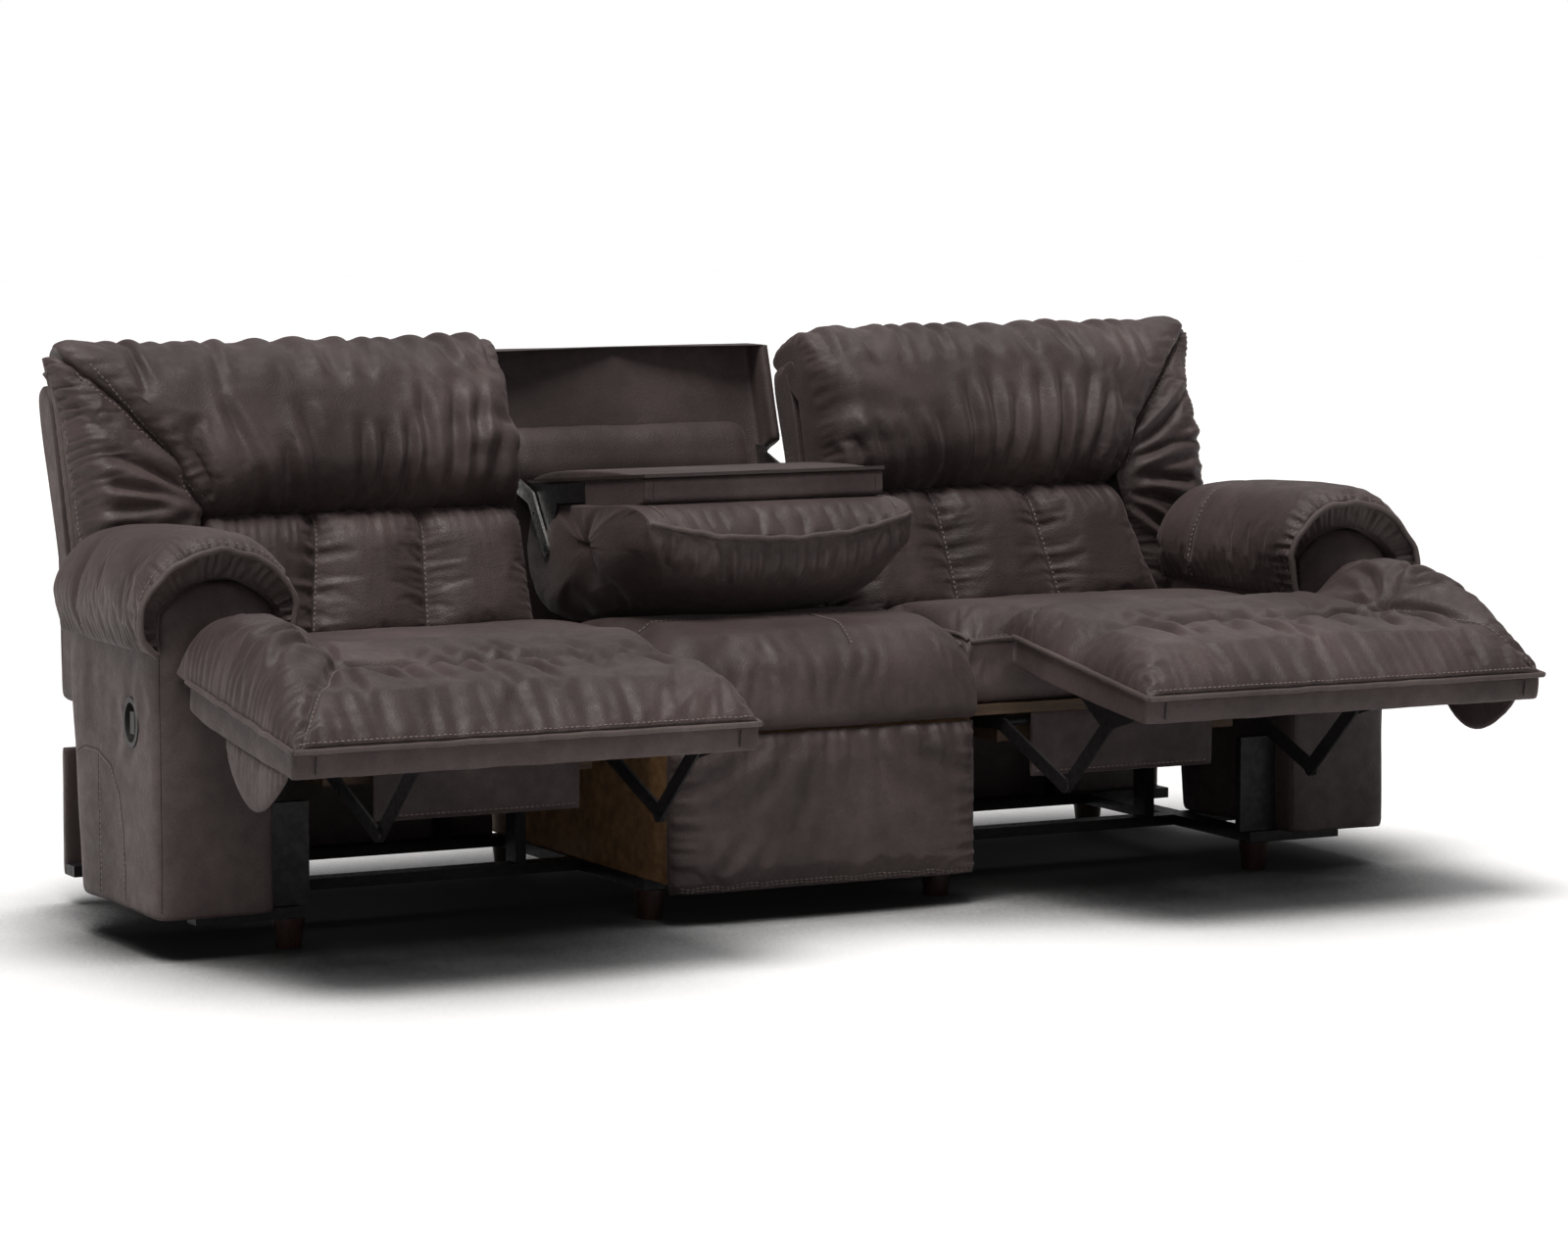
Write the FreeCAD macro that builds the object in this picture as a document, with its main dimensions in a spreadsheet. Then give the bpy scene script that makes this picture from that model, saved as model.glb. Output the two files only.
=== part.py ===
import FreeCAD, Part
import Sketcher
import math
import os

# Three-seat reclining sofa with a drop down console in its middle seat.
# Units are millimetres. X runs across the sofa, the front faces -Y and Z is up.
# Y is first measured from the front plane of the arms, and every sub-part's
# Placement then moves it by arm_front, so that the origin lies under the middle.
# Rest pose: both outer footrests out, both outer backs upright, and the middle
# back folded forward as a table.

DIMENSIONS = (
    ("overall_width", 2340, "width over both arms"),
    ("arm_front", -148.4, "place of the arms' front plane"),
    ("foot_height", 50, "height of the turned wooden feet"),
    ("foot_tip", 21, "radius of a foot at the floor"),
    ("foot_top", 27, "radius of a foot at the rail"),
    ("foot_front", 60, "front row of feet behind the arms' front"),
    ("foot_rear", 640, "rear row of feet behind the arms' front"),
    ("foot_inner_inset", 14, "inner feet and rails inside the middle section's sides"),
    ("foot_outer_inset", 42, "outer feet and rails inside the arms' inner sides"),
    ("rail_height", 19, "height of the flat steel base tube"),
    ("rail_width", 40, "width of the flat steel base tube"),
    ("rail_middle", 320, "middle cross rail behind the arms' front"),
    ("rail_reach", 75, "what the cross rails stop short of the arms' outer side"),
    ("rear_panel", 12, "thickness of the low panels behind the outer seats"),
    ("rear_panel_rise", 200, "height of the low rear panels over the base tube"),
    ("arm_post", 170, "height of the steel posts that hold the arms"),
    ("arm_post_deep", 16, "depth of the steel posts that hold the arms"),
    ("arm_width", 200, "width of an arm"),
    ("arm_side", 491, "height of an arm's side panel"),
    ("arm_arch", 52, "rise of the arch over an arm's side panels"),
    ("arm_depth_low", 385, "depth of an arm at its bottom edge"),
    ("arm_depth_high", 447, "depth of an arm at the top of its side panel"),
    ("arm_wall", 20, "upholstered wall of an arm"),
    ("arm_member", 45, "width of the wooden members in an arm"),
    ("arm_pad_rise", 64, "crown of an arm pad over the arch"),
    ("arm_pad_front", 14, "overhang of an arm pad at its front"),
    ("arm_pad_ear", 6, "overhang of an arm pad at its sides"),
    ("handle_place", 114, "release handle behind the arms' front"),
    ("handle_level", 376, "height of the release handle"),
    ("handle_long", 41, "half height of the handle's oval"),
    ("handle_wide", 34, "half width of the handle's oval"),
    ("handle_rim", 8, "width of the handle's rim"),
    ("handle_proud", 5, "how far the rim stands out of the arm"),
    ("handle_cup", 26, "depth of the handle's cup"),
    ("cup_wall", 2, "wall of the handle's cup"),
    ("cup_play", 0.6, "clearance of the handle's cup in the arm"),
    ("lever_pin", 1.5, "radius of the release lever's pin"),
    ("lever_share", 0.62, "lever's hinge before the cup's middle, as a share of the cup's half width"),
    ("lever_long", 0.55, "length of the lever, as a share of the cup's"),
    ("lever_thick", 4, "thickness of the release lever"),
    ("lever_lip", 3, "how far the release lever reaches past the cup's middle"),
    ("console_half", 290, "half width of the fixed middle section"),
    ("section_gap", 10, "gap between the middle section and an outer seat"),
    ("arm_gap", 8, "gap between an outer seat and its arm"),
    ("ply", 18, "thickness of the plywood"),
    ("console_front", 57, "how far the middle section stands out of the arms' front"),
    ("panel_thick", 22, "thickness of an upholstered front panel"),
    ("console_inset", 2, "how far the plywood sides stand inside the middle section"),
    ("console_deck", 303, "height under the middle seat's deck"),
    ("deck_thick", 15, "thickness of the middle seat's deck"),
    ("deck_behind", 40, "how far the deck reaches behind the seat cushion"),
    ("cushion_over", 4, "how far the middle seat cushion stands over its front panel"),
    ("cushion_side", 3, "how far a seat cushion stays inside its section"),
    ("cushion_nose", 26, "fall of the middle seat cushion from its crown to its front"),
    ("cushion_tail", 34, "fall of the middle seat cushion from its crown to its rear"),
    ("console_seat_rear", 455, "rear end of the middle seat cushion"),
    ("console_seat_top", 484, "crown of the middle seat cushion"),
    ("shell_front", 700, "front face of the rear shell's upright part"),
    ("shell_bend", 670, "height where the rear shell starts to lean"),
    ("shell_top", 925, "height of the rear shell"),
    ("shell_lean", 17, "lean of the rear shell in degrees"),
    ("shell_thick", 32, "thickness of the rear shell"),
    ("wing_reach", 58, "reach of the rear shell's side wings"),
    ("wing_thick", 18, "thickness of the rear shell's side wings"),
    ("wing_start", 735, "bottom of the rear shell's side wings"),
    ("bolster_level", 690, "bottom of the padded bolster behind the table"),
    ("bolster_rise", 95, "height of the padded bolster"),
    ("bolster_deep", 46, "depth of the padded bolster"),
    ("bolster_half", 235, "half width of the padded bolster"),
    ("bolster_nose", 8, "rounding of the padded bolster's front edges"),
    ("bolster_edge", 30, "rounding of the padded bolster's ends"),
    ("hinge_place", 489, "console hinge behind the arms' front"),
    ("hinge_level", 590, "height of the console hinge"),
    ("hinge_bar", 13, "half width of the console's fixed hinge bars"),
    ("hinge_pin", 6, "radius of the console's hinge pins"),
    ("hinge_knee_run", 62, "bend of the hinge bars behind the console hinge"),
    ("hinge_knee_rise", 86, "bend of the hinge bars over the console hinge"),
    ("hinge_root", 718, "height where the hinge bars leave the rear shell"),
    ("hinge_foot", 52, "height of the hinge bars' foot on the rear shell"),
    ("hinge_foot_deep", 30, "depth of the hinge bars' foot"),
    ("fold_plate_near", 70, "start of the fold plate's flange from the table's rear edge"),
    ("fold_plate_far", 235, "end of the fold plate's flange from the table's rear edge"),
    ("fold_web_near", 95, "start of the fold plate's web from the table's rear edge"),
    ("fold_web_far", 200, "end of the fold plate's web from the table's rear edge"),
    ("fold_flange_top", 10, "top of the fold plate's flange under the table's face"),
    ("fold_flange_low", 44, "bottom of the fold plate's flange under the table's face"),
    ("plate", 5, "thickness of the steel plates and links"),
    ("play", 1, "running gap between two steel plates"),
    ("eye", 14, "radius of a steel plate's round end at a pivot"),
    ("pin_play", 0.4, "clearance of a pin in its hole"),
    ("pin_head", 3, "how far a pin stands out of the last plate"),
    ("table_tilt", 4.8, "rise of the folded table to the front in degrees"),
    ("table_half", 231, "half width of the table"),
    ("table_long", 481, "length of the table"),
    ("table_lid", 6, "thickness of the table's tray"),
    ("tray_over", 3, "how far the tray stands out over the padded core"),
    ("table_core", 44, "thickness of the table's padded core"),
    ("table_rear", 646, "rear edge of the folded table"),
    ("table_level", 700, "height of the folded table's rear edge"),
    ("cup_radius", 41, "inner radius of a cup holder"),
    ("cup_skin", 2.5, "wall of a cup holder"),
    ("cup_deep", 43, "depth of a cup holder"),
    ("cup_along", 120, "cup holders from the table's rear edge"),
    ("cup_across", 96, "cup holders from the middle"),
    ("cup_lip", 6, "width of a cup holder's lip"),
    ("cup_lip_rise", 2, "rise of a cup holder's lip over the tray"),
    ("well_play", 0.2, "clearance of a cup holder in the table"),
    ("fold_half", 255, "half width of the folding back cushion"),
    ("fold_end", 551, "head end of the folding cushion from the table's rear edge"),
    ("fold_roll", 120, "radius of the folding cushion's roll round its hinge"),
    ("fold_edge", 55, "rounding of the folding cushion's ends"),
    ("seat_front", 6, "front of an outer seat cushion"),
    ("seat_rear", 405, "rear end of an outer seat cushion"),
    ("seat_crown", 490, "crown of an outer seat cushion"),
    ("seat_nose", 14, "fall of an outer seat from its crown to its front"),
    ("seat_fall", 34, "fall of an outer seat from its crown to its rear"),
    ("box_bottom", 262, "underside of an outer seat's wooden box"),
    ("box_height", 54, "height of the seat box's lower frame"),
    ("box_front", 45, "front of the seat box's lower frame"),
    ("box_rear", 470, "rear of the seat box's lower frame"),
    ("box_member", 40, "width of the seat box's members"),
    ("ledge_side", 10, "how far the ledge stays inside the seat's sides"),
    ("ledge", 18, "thickness of the seat's upper ledge frame"),
    ("ledge_front", 2, "front of the seat's upper ledge frame"),
    ("ledge_rear", 440, "rear of the seat's upper ledge frame"),
    ("strap_wide", 50, "width of an elastic seat strap"),
    ("strap_thick", 2, "thickness of an elastic seat strap"),
    ("strap_lap", 25, "how far a strap lies on the seat frame's members"),
    ("runner_inset", 14, "runners inside the link planes"),
    ("runner_wide", 20, "width of a runner"),
    ("runner_rise", 30, "height of a runner"),
    ("runner_ahead", 70, "how far a runner reaches before the middle cross rail"),
    ("link_inner_inset", 80, "inner link plane inside the outer seat's inner side"),
    ("link_outer_inset", 90, "outer link plane inside the arm's inner side"),
    ("link_half", 13, "half width of the footrest links"),
    ("link_pin", 5, "radius of the footrest links' pins"),
    ("drive_tube", 8, "radius of the tube that joins both rear links"),
    ("pivot_place", 20, "seat pivot of the rear links behind the arms' front"),
    ("pivot_level", 300, "height of the seat pivot of the rear links"),
    ("knee_place", 200, "knee of the opened links before the arms' front"),
    ("knee_level", 215, "height of the knee of the opened links"),
    ("toe_place", 335, "footrest pivot before the arms' front"),
    ("toe_level", 335, "height of the footrest pivot"),
    ("foot_tilt", 8, "fall of the opened footrest to its front in degrees"),
    ("board_long", 444, "length of the footrest board"),
    ("board_thick", 40, "thickness of the upholstered footrest board"),
    ("board_drop", 41, "footrest pivot under the board"),
    ("board_behind", 283, "footrest board's rear edge from its pivot"),
    ("board_inner_inset", 57, "inner edge of the footrest inside the outer seat's inner side"),
    ("board_outer_inset", 30, "outer edge of the footrest inside the arm's outer side"),
    ("pad_behind", 60, "how far the footrest pad reaches behind its board"),
    ("pad_crown", 58, "crown of the footrest pad over its board"),
    ("lobe_crown", 112, "crown of the footrest's outer lobe over its board"),
    ("flap_drop", 96, "hanging depth of the footrest's outer flap"),
    ("flap_long", 250, "length of the footrest's outer flap"),
    ("flap_thick", 12, "thickness of the footrest's outer flap"),
    ("flap_front", 45, "outer flap behind the board's front edge"),
    ("bracket_half", 90, "half length of a footrest bracket's flange"),
    ("bracket_rise", 14, "height of a footrest bracket's flange"),
    ("apron_inner_inset", 132, "hanging front panel inside the outer seat's inner side"),
    ("apron_outer_inset", 170, "hanging front panel inside the arm's inner side"),
    ("apron_front", 4, "how far the hanging front panel stands before the arms' front"),
    ("apron_thick", 11, "thickness of the hanging front panel"),
    ("apron_drop", 58, "how far the hanging front panel reaches under the seat box"),
    ("back_place", 480, "recline pivot behind the arms' front"),
    ("back_level", 335, "height of the recline pivot"),
    ("back_lean", 18, "lean of the upright back in degrees"),
    ("back_inset", 60, "outer side of an outer back inside the arm's outer side"),
    ("back_thick", 35, "thickness of the back's wooden frame"),
    ("back_high", 590, "top of the back's wooden frame along its lean"),
    ("back_member", 60, "width of the back frame's members"),
    ("pillow_deep", 128, "depth of the head pillow before the back frame"),
    ("lumbar_deep", 102, "depth of the lumbar cushion before the back frame"),
    ("cover_deep", 66, "depth of the back's rear cover"),
    ("cover_skin", 16, "wall of the back's rear cover"),
    ("cover_bottom", 362, "bottom edge of the back's rear cover"),
    ("cover_bend", 250, "bend of the rear cover along the lean"),
    ("cover_start", 42, "bottom of the rear cover's front edge along the lean"),
    ("wing_top", 586, "top of the wing and the rear cover along the lean"),
    ("frame_start", 30, "bottom of the back's wooden frame along its lean"),
    ("frame_ahead", 10.5, "how far the back's wooden frame stands before the recline pivot"),
    ("bracket_tall", 170, "top of a back bracket along the lean"),
    ("bracket_wide", 30, "width of a back bracket behind the frame"),
    ("cover_foot", 90, "bottom of the rear cover behind the recline pivot"),
    ("soft_gap", 0.3, "gap round a soft piece"),
    ("soft_edge", 4, "how far a back cushion stays inside its section"),
)

doc = FreeCAD.newDocument("sofa_with_drop_down_console")
sheet = doc.addObject("Spreadsheet::Sheet", "dims")
for row, (alias, number, meaning) in enumerate(DIMENSIONS, start=1):
    sheet.set("A%d" % row, meaning)
    sheet.set("B%d" % row, str(number))
    sheet.setAlias("B%d" % row, alias)
doc.recompute()


class Size:
    """A length that knows its number and the formula that it has in the sheet's terms."""

    def __init__(self, number, formula=None):
        self.number = float(number)
        self.formula = formula if formula else "(%r)" % float(number)

    def __float__(self):
        return self.number

    def _join(self, other, sign, number):
        other = as_size(other)
        return Size(number(self.number, other.number), "(%s %s %s)" % (self.formula, sign, other.formula))

    def __add__(self, other):
        return self._join(other, "+", lambda a, b: a + b)

    def __sub__(self, other):
        return self._join(other, "-", lambda a, b: a - b)

    def __mul__(self, other):
        return self._join(other, "*", lambda a, b: a * b)

    def __truediv__(self, other):
        return self._join(other, "/", lambda a, b: a / b)

    def __neg__(self):
        return Size(0) - self

    def __radd__(self, other):
        return as_size(other) + self

    def __rsub__(self, other):
        return as_size(other) - self

    def __rmul__(self, other):
        return as_size(other) * self


def as_size(value):
    return value if isinstance(value, Size) else Size(value)


def sine(angle):
    return Size(math.sin(math.radians(angle.number)), "sin(%s)" % angle.formula)


def cosine(angle):
    return Size(math.cos(math.radians(angle.number)), "cos(%s)" % angle.formula)


def root(size):
    return Size(math.sqrt(size.number), "sqrt(%s)" % size.formula)


class Dimensions:
    """The sheet's cells as sizes, by their alias."""


d = Dimensions()
for alias, number, meaning in DIMENSIONS:
    setattr(d, alias, Size(sheet.get(alias), "dims.%s" % alias))

# Sizes that follow from the driving dimensions.
half_width = d.overall_width / 2
arm_inner = half_width - d.arm_width
rail_bottom = d.foot_height
rail_top = d.foot_height + d.rail_height
arm_top = rail_top + d.arm_side
seat_inner = d.console_half + d.section_gap
seat_outer = arm_inner - d.arm_gap
foot_inner = d.console_half - d.foot_inner_inset
foot_outer = arm_inner - d.foot_outer_inset
link_inner = seat_inner + d.link_inner_inset
link_outer = arm_inner - d.link_outer_inset
board_inner = seat_inner + d.board_inner_inset
board_outer = half_width - d.board_outer_inset
apron_inner = seat_inner + d.apron_inner_inset
apron_outer = arm_inner - d.apron_outer_inset
back_outer = half_width - d.back_inset
box_top = d.box_bottom + d.box_height
ledge_top = box_top + d.ledge
strap_top = ledge_top + d.strap_thick
cushion_bottom = strap_top + d.soft_gap
cup_wide = d.handle_wide - d.handle_rim
cup_long = d.handle_long - d.handle_rim
half_plate = d.plate / 2
plate_step = half_plate + d.play
second_plate = plate_step + d.plate
board_front = d.board_long - d.board_behind
fixed_plate = d.fold_half + d.play * 2 + d.plate + d.play * 2

SIDES = (("left", -1), ("right", 1))
STRAPS = 5
OVAL_CORNERS = 16

# Sections of an outer back's soft pieces: place along the lean, how far the inner and the outer
# edge are drawn in from the back's sides, and how far the front face stands behind its full depth.
LUMBAR_SECTIONS = (
    (66, 10, 170, 34),
    (84, 2, 172, 10),
    (150, 0, 185, 0),
    (240, 4, 205, 2),
    (305, 10, 220, 22),
    (327, 20, 230, 48),
)
PILLOW_SECTIONS = (
    (330, 22, 232, 48),
    (348, 12, 222, 18),
    (420, 4, 180, 0),
    (520, 0, 100, 12),
    (590.4, 0, 40, 40),
)
# The pillow's top goes over the back frame: here the last number is its rear face behind the frame.
PILLOW_TOP_SECTIONS = (
    (591.4, 0, 39, 40.5, 40),
    (626, 4, 24, 62, 34),
    (648, 14, 30, 92, 4),
)
# Sections of the outer wing: place along the lean, how far its inner edge is from the back's outer
# side, how far its outer edge is drawn in, and its depth before the back frame.
WING_SECTIONS = (
    (96, 144, 8, 22),
    (150, 160, 2, 40),
    (240, 185, 0, 62),
    (330, 208, 0, 84),
    (420, 170, 0, 92),
    (520, 92, 0, 84),
    (586, 34, 0, 62),
)
# Sections of an arm pad: share of its length, share of its crown, and how far it is drawn in.
ARM_PAD_SECTIONS = (
    (0.0, 0.42, 10.0),
    (0.03, 0.62, 5.0),
    (0.1, 0.86, 1.0),
    (0.24, 1.0, 0.0),
    (0.55, 0.9, 0.0),
    (0.85, 0.72, 0.0),
    (0.96, 0.52, 4.0),
    (1.0, 0.3, 14.0),
)
NODES = {}
PLACES = {}


def span(side, inner, outer):
    """The X range of a piece that lies from inner to outer on one side of the sofa."""
    return (as_size(inner), as_size(outer)) if side > 0 else (-as_size(outer), -as_size(inner))


def on_line(start, angle, along, across):
    """Depth and height of a point given along and across a line that leans back by angle."""
    y0, z0 = start
    return (y0 + along * sine(angle) + across * cosine(angle),
            z0 + along * cosine(angle) - across * sine(angle))


def on_back(across, along):
    """A point of an outer back: across counts to the rear and along counts up its lean."""
    return on_line((d.back_place, d.back_level), d.back_lean, as_size(along), as_size(across))


def on_board(ahead, above):
    """A point of the opened footrest: ahead of its pivot and above it, square to the board."""
    y0, z0 = -d.toe_place, d.toe_level
    ahead, above = as_size(ahead), as_size(above)
    return (y0 - ahead * cosine(d.foot_tilt) - above * sine(d.foot_tilt),
            z0 - ahead * sine(d.foot_tilt) + above * cosine(d.foot_tilt))


def on_table(along, under):
    """A point of the folded back: along from the table's rear edge, and under its top."""
    along, under = as_size(along), as_size(under)
    return (d.table_rear - along * cosine(d.table_tilt) - under * sine(d.table_tilt),
            d.table_level + along * sine(d.table_tilt) - under * cosine(d.table_tilt))


def bind(item, name, size):
    item.setExpression(name, as_size(size).formula)


def place(item, x, y, z):
    PLACES[item.Name] = as_size(y)
    bind(item, "Placement.Base.x", x)
    bind(item, "Placement.Base.y", y)
    bind(item, "Placement.Base.z", z)
    return item


def box(label, xs, ys, zs):
    item = doc.addObject("Part::Box", label)
    for name, (low, high) in zip(("Length", "Width", "Height"), (xs, ys, zs)):
        bind(item, name, as_size(high) - low)
    return place(item, xs[0], ys[0], zs[0])


def rod(label, xs, y, z, radius):
    """A round bar along X."""
    item = doc.addObject("Part::Cylinder", label)
    item.Placement = FreeCAD.Placement(FreeCAD.Vector(), FreeCAD.Rotation(FreeCAD.Vector(0, 1, 0), 90))
    bind(item, "Radius", radius)
    bind(item, "Height", as_size(xs[1]) - xs[0])
    return place(item, xs[0], y, z)


def cut(label, base, tool):
    item = doc.addObject("Part::Cut", label)
    item.Base = base
    item.Tool = tool
    return item


def fuse(label, shapes):
    item = doc.addObject("Part::MultiFuse", label)
    item.Shapes = shapes
    return item


def group(label, shapes):
    item = doc.addObject("Part::Compound", label)
    item.Links = shapes
    return item


def own_plane(body, role):
    return next(item for item in body.Origin.OriginFeatures if item.Role == role)


def sketch_on(body, role, offset=None):
    sketch = body.newObject("Sketcher::SketchObject", body.Name + "_outline")
    sketch.AttachmentSupport = [(own_plane(body, role), "")]
    sketch.MapMode = "FlatFace"
    if offset is not None:
        bind(sketch, "AttachmentOffset.Base.z", offset)
    return sketch


def fix(sketch, kind, where, size):
    number = sketch.addConstraint(Sketcher.Constraint(kind, *where, float(size)))
    bind(sketch, "Constraints[%d]" % number, size)


def draw_outline(sketch, corners):
    """A closed outline of straight edges, each corner held by its two sizes."""
    points = [FreeCAD.Vector(float(a), float(b), 0) for a, b in corners]
    count = len(points)
    for i in range(count):
        sketch.addGeometry(Part.LineSegment(points[i], points[(i + 1) % count]), False)
    for i in range(count):
        sketch.addConstraint(Sketcher.Constraint("Coincident", i, 2, (i + 1) % count, 1))
    for i, (a, b) in enumerate(corners):
        fix(sketch, "DistanceX", (i, 1), as_size(a))
        fix(sketch, "DistanceY", (i, 1), as_size(b))


def draw_circle(sketch, centre, radius):
    middle = FreeCAD.Vector(float(centre[0]), float(centre[1]), 0)
    number = sketch.addGeometry(Part.Circle(middle, FreeCAD.Vector(0, 0, 1), float(radius)), False)
    fix(sketch, "DistanceX", (number, 3), as_size(centre[0]))
    fix(sketch, "DistanceY", (number, 3), as_size(centre[1]))
    fix(sketch, "Radius", (number,), as_size(radius))


def draw(sketch, form):
    """A form is a list of corners, or a circle given as its centre and radius."""
    if isinstance(form, tuple):
        draw_circle(sketch, form[0], form[1])
    else:
        draw_outline(sketch, form)


def side_body(label, xs, adds, cuts=()):
    """Profiles in the YZ plane, made thick along X. Each add or cut is a form,
    and may bring its own start and depth, counted from the body's inner X."""
    body = doc.addObject("PartDesign::Body", label)
    thick = as_size(xs[1]) - xs[0]
    for kind, forms in (("PartDesign::Pad", adds), ("PartDesign::Pocket", cuts)):
        for form in forms:
            start, depth = Size(0), thick
            if isinstance(form, dict):
                start, depth, form = form["start"], form["depth"], form["form"]
            sketch = sketch_on(body, "YZ_Plane", start)
            draw(sketch, form)
            feature = body.newObject(kind, "%s_%s" % (label, kind.split("::")[1].lower()))
            feature.Profile = sketch
            bind(feature, "Length", depth)
            if kind.endswith("Pocket"):
                feature.Reversed = True
    return place(body, xs[0], 0, 0)


def bar_forms(start, end, half):
    """A straight bar with round ends, as three forms: its middle and its two eyes."""
    run_y, run_z = as_size(end[0]) - start[0], as_size(end[1]) - start[1]
    length = math.hypot(float(run_y), float(run_z))
    across = (Size(-float(run_z) / length) * half, Size(float(run_y) / length) * half)
    middle = [(start[0] + across[0], start[1] + across[1]),
              (start[0] - across[0], start[1] - across[1]),
              (end[0] - across[0], end[1] - across[1]),
              (end[0] + across[0], end[1] + across[1])]
    return [middle, (start, half), (end, half)]


def keep(name, item):
    """Makes an object the sub-part of that name, and moves it to its place in the sofa."""
    item.Label = name
    bind(item, "Placement.Base.y", d.arm_front + PLACES.get(item.Name, Size(0)))
    NODES[name] = item
    return item


def keep_form(name, shape):
    """The same for a shape that is made of lofts."""
    item = doc.addObject("Part::Feature", name)
    item.Shape = shape
    return keep(name, item)


def wire(seat, steps):
    """A closed wire of lines and arcs. Each step is a corner and, for an arc, a point on
    the way to the next corner. seat turns the two coordinates into a point in space."""
    edges = []
    for i, (corner, via) in enumerate(steps):
        start = seat(*corner)
        end = seat(*steps[(i + 1) % len(steps)][0])
        if via is None:
            edges.append(Part.makeLine(start, end))
        else:
            edges.append(Part.Arc(start, seat(*via), end).toShape())
    return Part.Wire(edges)


def loft(wires):
    shape = Part.makeLoft(wires, True, True)
    return Part.Solid(shape.Shells[0]) if not shape.Solids else shape.Solids[0]


def rounded_stations(low, high, edge, inset):
    """Places along a cushion with how far its outline is drawn in at each: an elliptic
    round over the last stretch at both ends, and nothing in between."""
    steps = (0.0, 0.12, 0.45, 1.0)
    ends = [(edge * t, inset * (1 - math.sqrt(1 - (1 - t) ** 2))) for t in steps]
    near = [(low + run, draw_in) for run, draw_in in ends]
    far = [(high - run, draw_in) for run, draw_in in reversed(ends)]
    return near + [((low + high) / 2, 0.0)] + far


def lying_cushion(xs, ys, bottom, top_front, top_rear, crown):
    """A boxed cushion that lies flat: sections across X, crowned on top, drawn in at the ends."""
    edge, inset, sag, bulge, crown_ahead = 45.0, 16.0, 8.0, 14.0, 40.0
    low, high = float(xs[0]), float(xs[1])
    front, rear = float(ys[0]), float(ys[1])
    bottom, top_front, top_rear, crown = (float(v) for v in (bottom, top_front, top_rear, crown))
    wires = []
    for x, draw_in in rounded_stations(low, high, edge, inset):
        off = (2 * (x - low) / (high - low) - 1) ** 2 * sag + draw_in
        y0, y1 = front + draw_in, rear - draw_in
        base = bottom + draw_in / 4
        z_front, z_rear, z_crown = top_front - off, top_rear - off, crown - off

        def seat(y, z, x=x):
            return FreeCAD.Vector(x, y, z)
        wires.append(wire(seat, [
            ((y0 + bulge, base), None),
            ((y1 - bulge, base), (y1, (base + z_rear) / 2)),
            ((y1 - bulge, z_rear), ((y0 + y1) / 2 - crown_ahead, z_crown)),
            ((y0 + bulge, z_front), (y0, (base + z_front) / 2))]))
    return loft(wires)


def standing_section(x0, x1, front, back, lobes, groove):
    """A cushion's outline seen from above: flat at the back, round sides and one lobe or more."""
    bulge = 6.0
    shoulder = front + min(23.4, (back - front) * 0.4)
    steps = [((x0 + bulge, back), None), ((x1 - bulge, back), (x1, (back + shoulder) / 2))]
    width = (x1 - x0 - bulge * 2) / lobes
    for i in range(lobes):
        start = x1 - bulge - i * width
        start_deep = shoulder if i == 0 else front + groove
        steps.append(((start, start_deep), (start - width / 2, front)))
    steps.append(((x0 + bulge, shoulder), (x0, (back + shoulder) / 2)))
    return steps


def standing_cushion(stations, lobes=1, groove=12.0):
    """Sections square to an outer back's lean, each as (along, x0, x1, front, back)."""
    wires = []
    for along, x0, x1, front, back in stations:
        def seat(x, across, along=along):
            y, z = on_back(across, along)
            return FreeCAD.Vector(x, float(y), float(z))
        wires.append(wire(seat, standing_section(x0, x1, front, back, lobes, groove)))
    return loft(wires)


def mirrored(shape, side):
    return shape if side > 0 else shape.mirror(FreeCAD.Vector(), FreeCAD.Vector(1, 0, 0))


# Base: steel rails on turned feet, closed behind the outer seats by low upholstered panels.
def make_base():
    half = d.rail_width / 2
    zs = (rail_bottom, rail_top)
    reach = half_width - d.rail_reach
    rails = [
        box("rear_rail", (-reach, reach), (d.foot_rear - half, d.foot_rear + half), zs),
        box("middle_rail", (-reach, reach), (d.rail_middle - half, d.rail_middle + half), zs)]
    for name, side in SIDES:
        for row, x in (("inner", foot_inner), ("outer", foot_outer)):
            rails.append(box("%s_%s_rail" % (name, row), span(side, x - half, x + half),
                             (d.foot_front - half, d.foot_rear + half), zs))
        rails.append(box(name + "_outrigger", span(side, foot_outer, reach),
                         (d.foot_front - half, d.foot_front + half), zs))
    for name, side in SIDES:
        post_deep = d.arm_post_deep / 2
        rails.append(box(name + "_arm_post", span(side, link_outer + second_plate + d.plate, arm_inner),
                         (d.foot_front - post_deep, d.foot_front + post_deep),
                         (rail_top, rail_top + d.arm_post)))
    keep("base_frame", fuse("base_frame", rails))
    feet = []
    for name, side in SIDES:
        for x in (foot_inner, foot_outer):
            for y in (d.foot_front, d.foot_rear):
                foot = doc.addObject("Part::Cone", name + "_foot")
                bind(foot, "Radius1", d.foot_tip)
                bind(foot, "Radius2", d.foot_top)
                bind(foot, "Height", d.foot_height)
                feet.append(place(foot, x * side, y, 0))
    keep("turned_feet", group("turned_feet", feet))
    behind = d.foot_rear + half
    panels = [box(name + "_low_panel", span(side, foot_inner + half, reach), (behind, behind + d.rear_panel),
                  (rail_bottom, rail_top + d.rear_panel_rise)) for name, side in SIDES]
    keep("lower_rear_panels", group("lower_rear_panels", panels))


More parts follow.
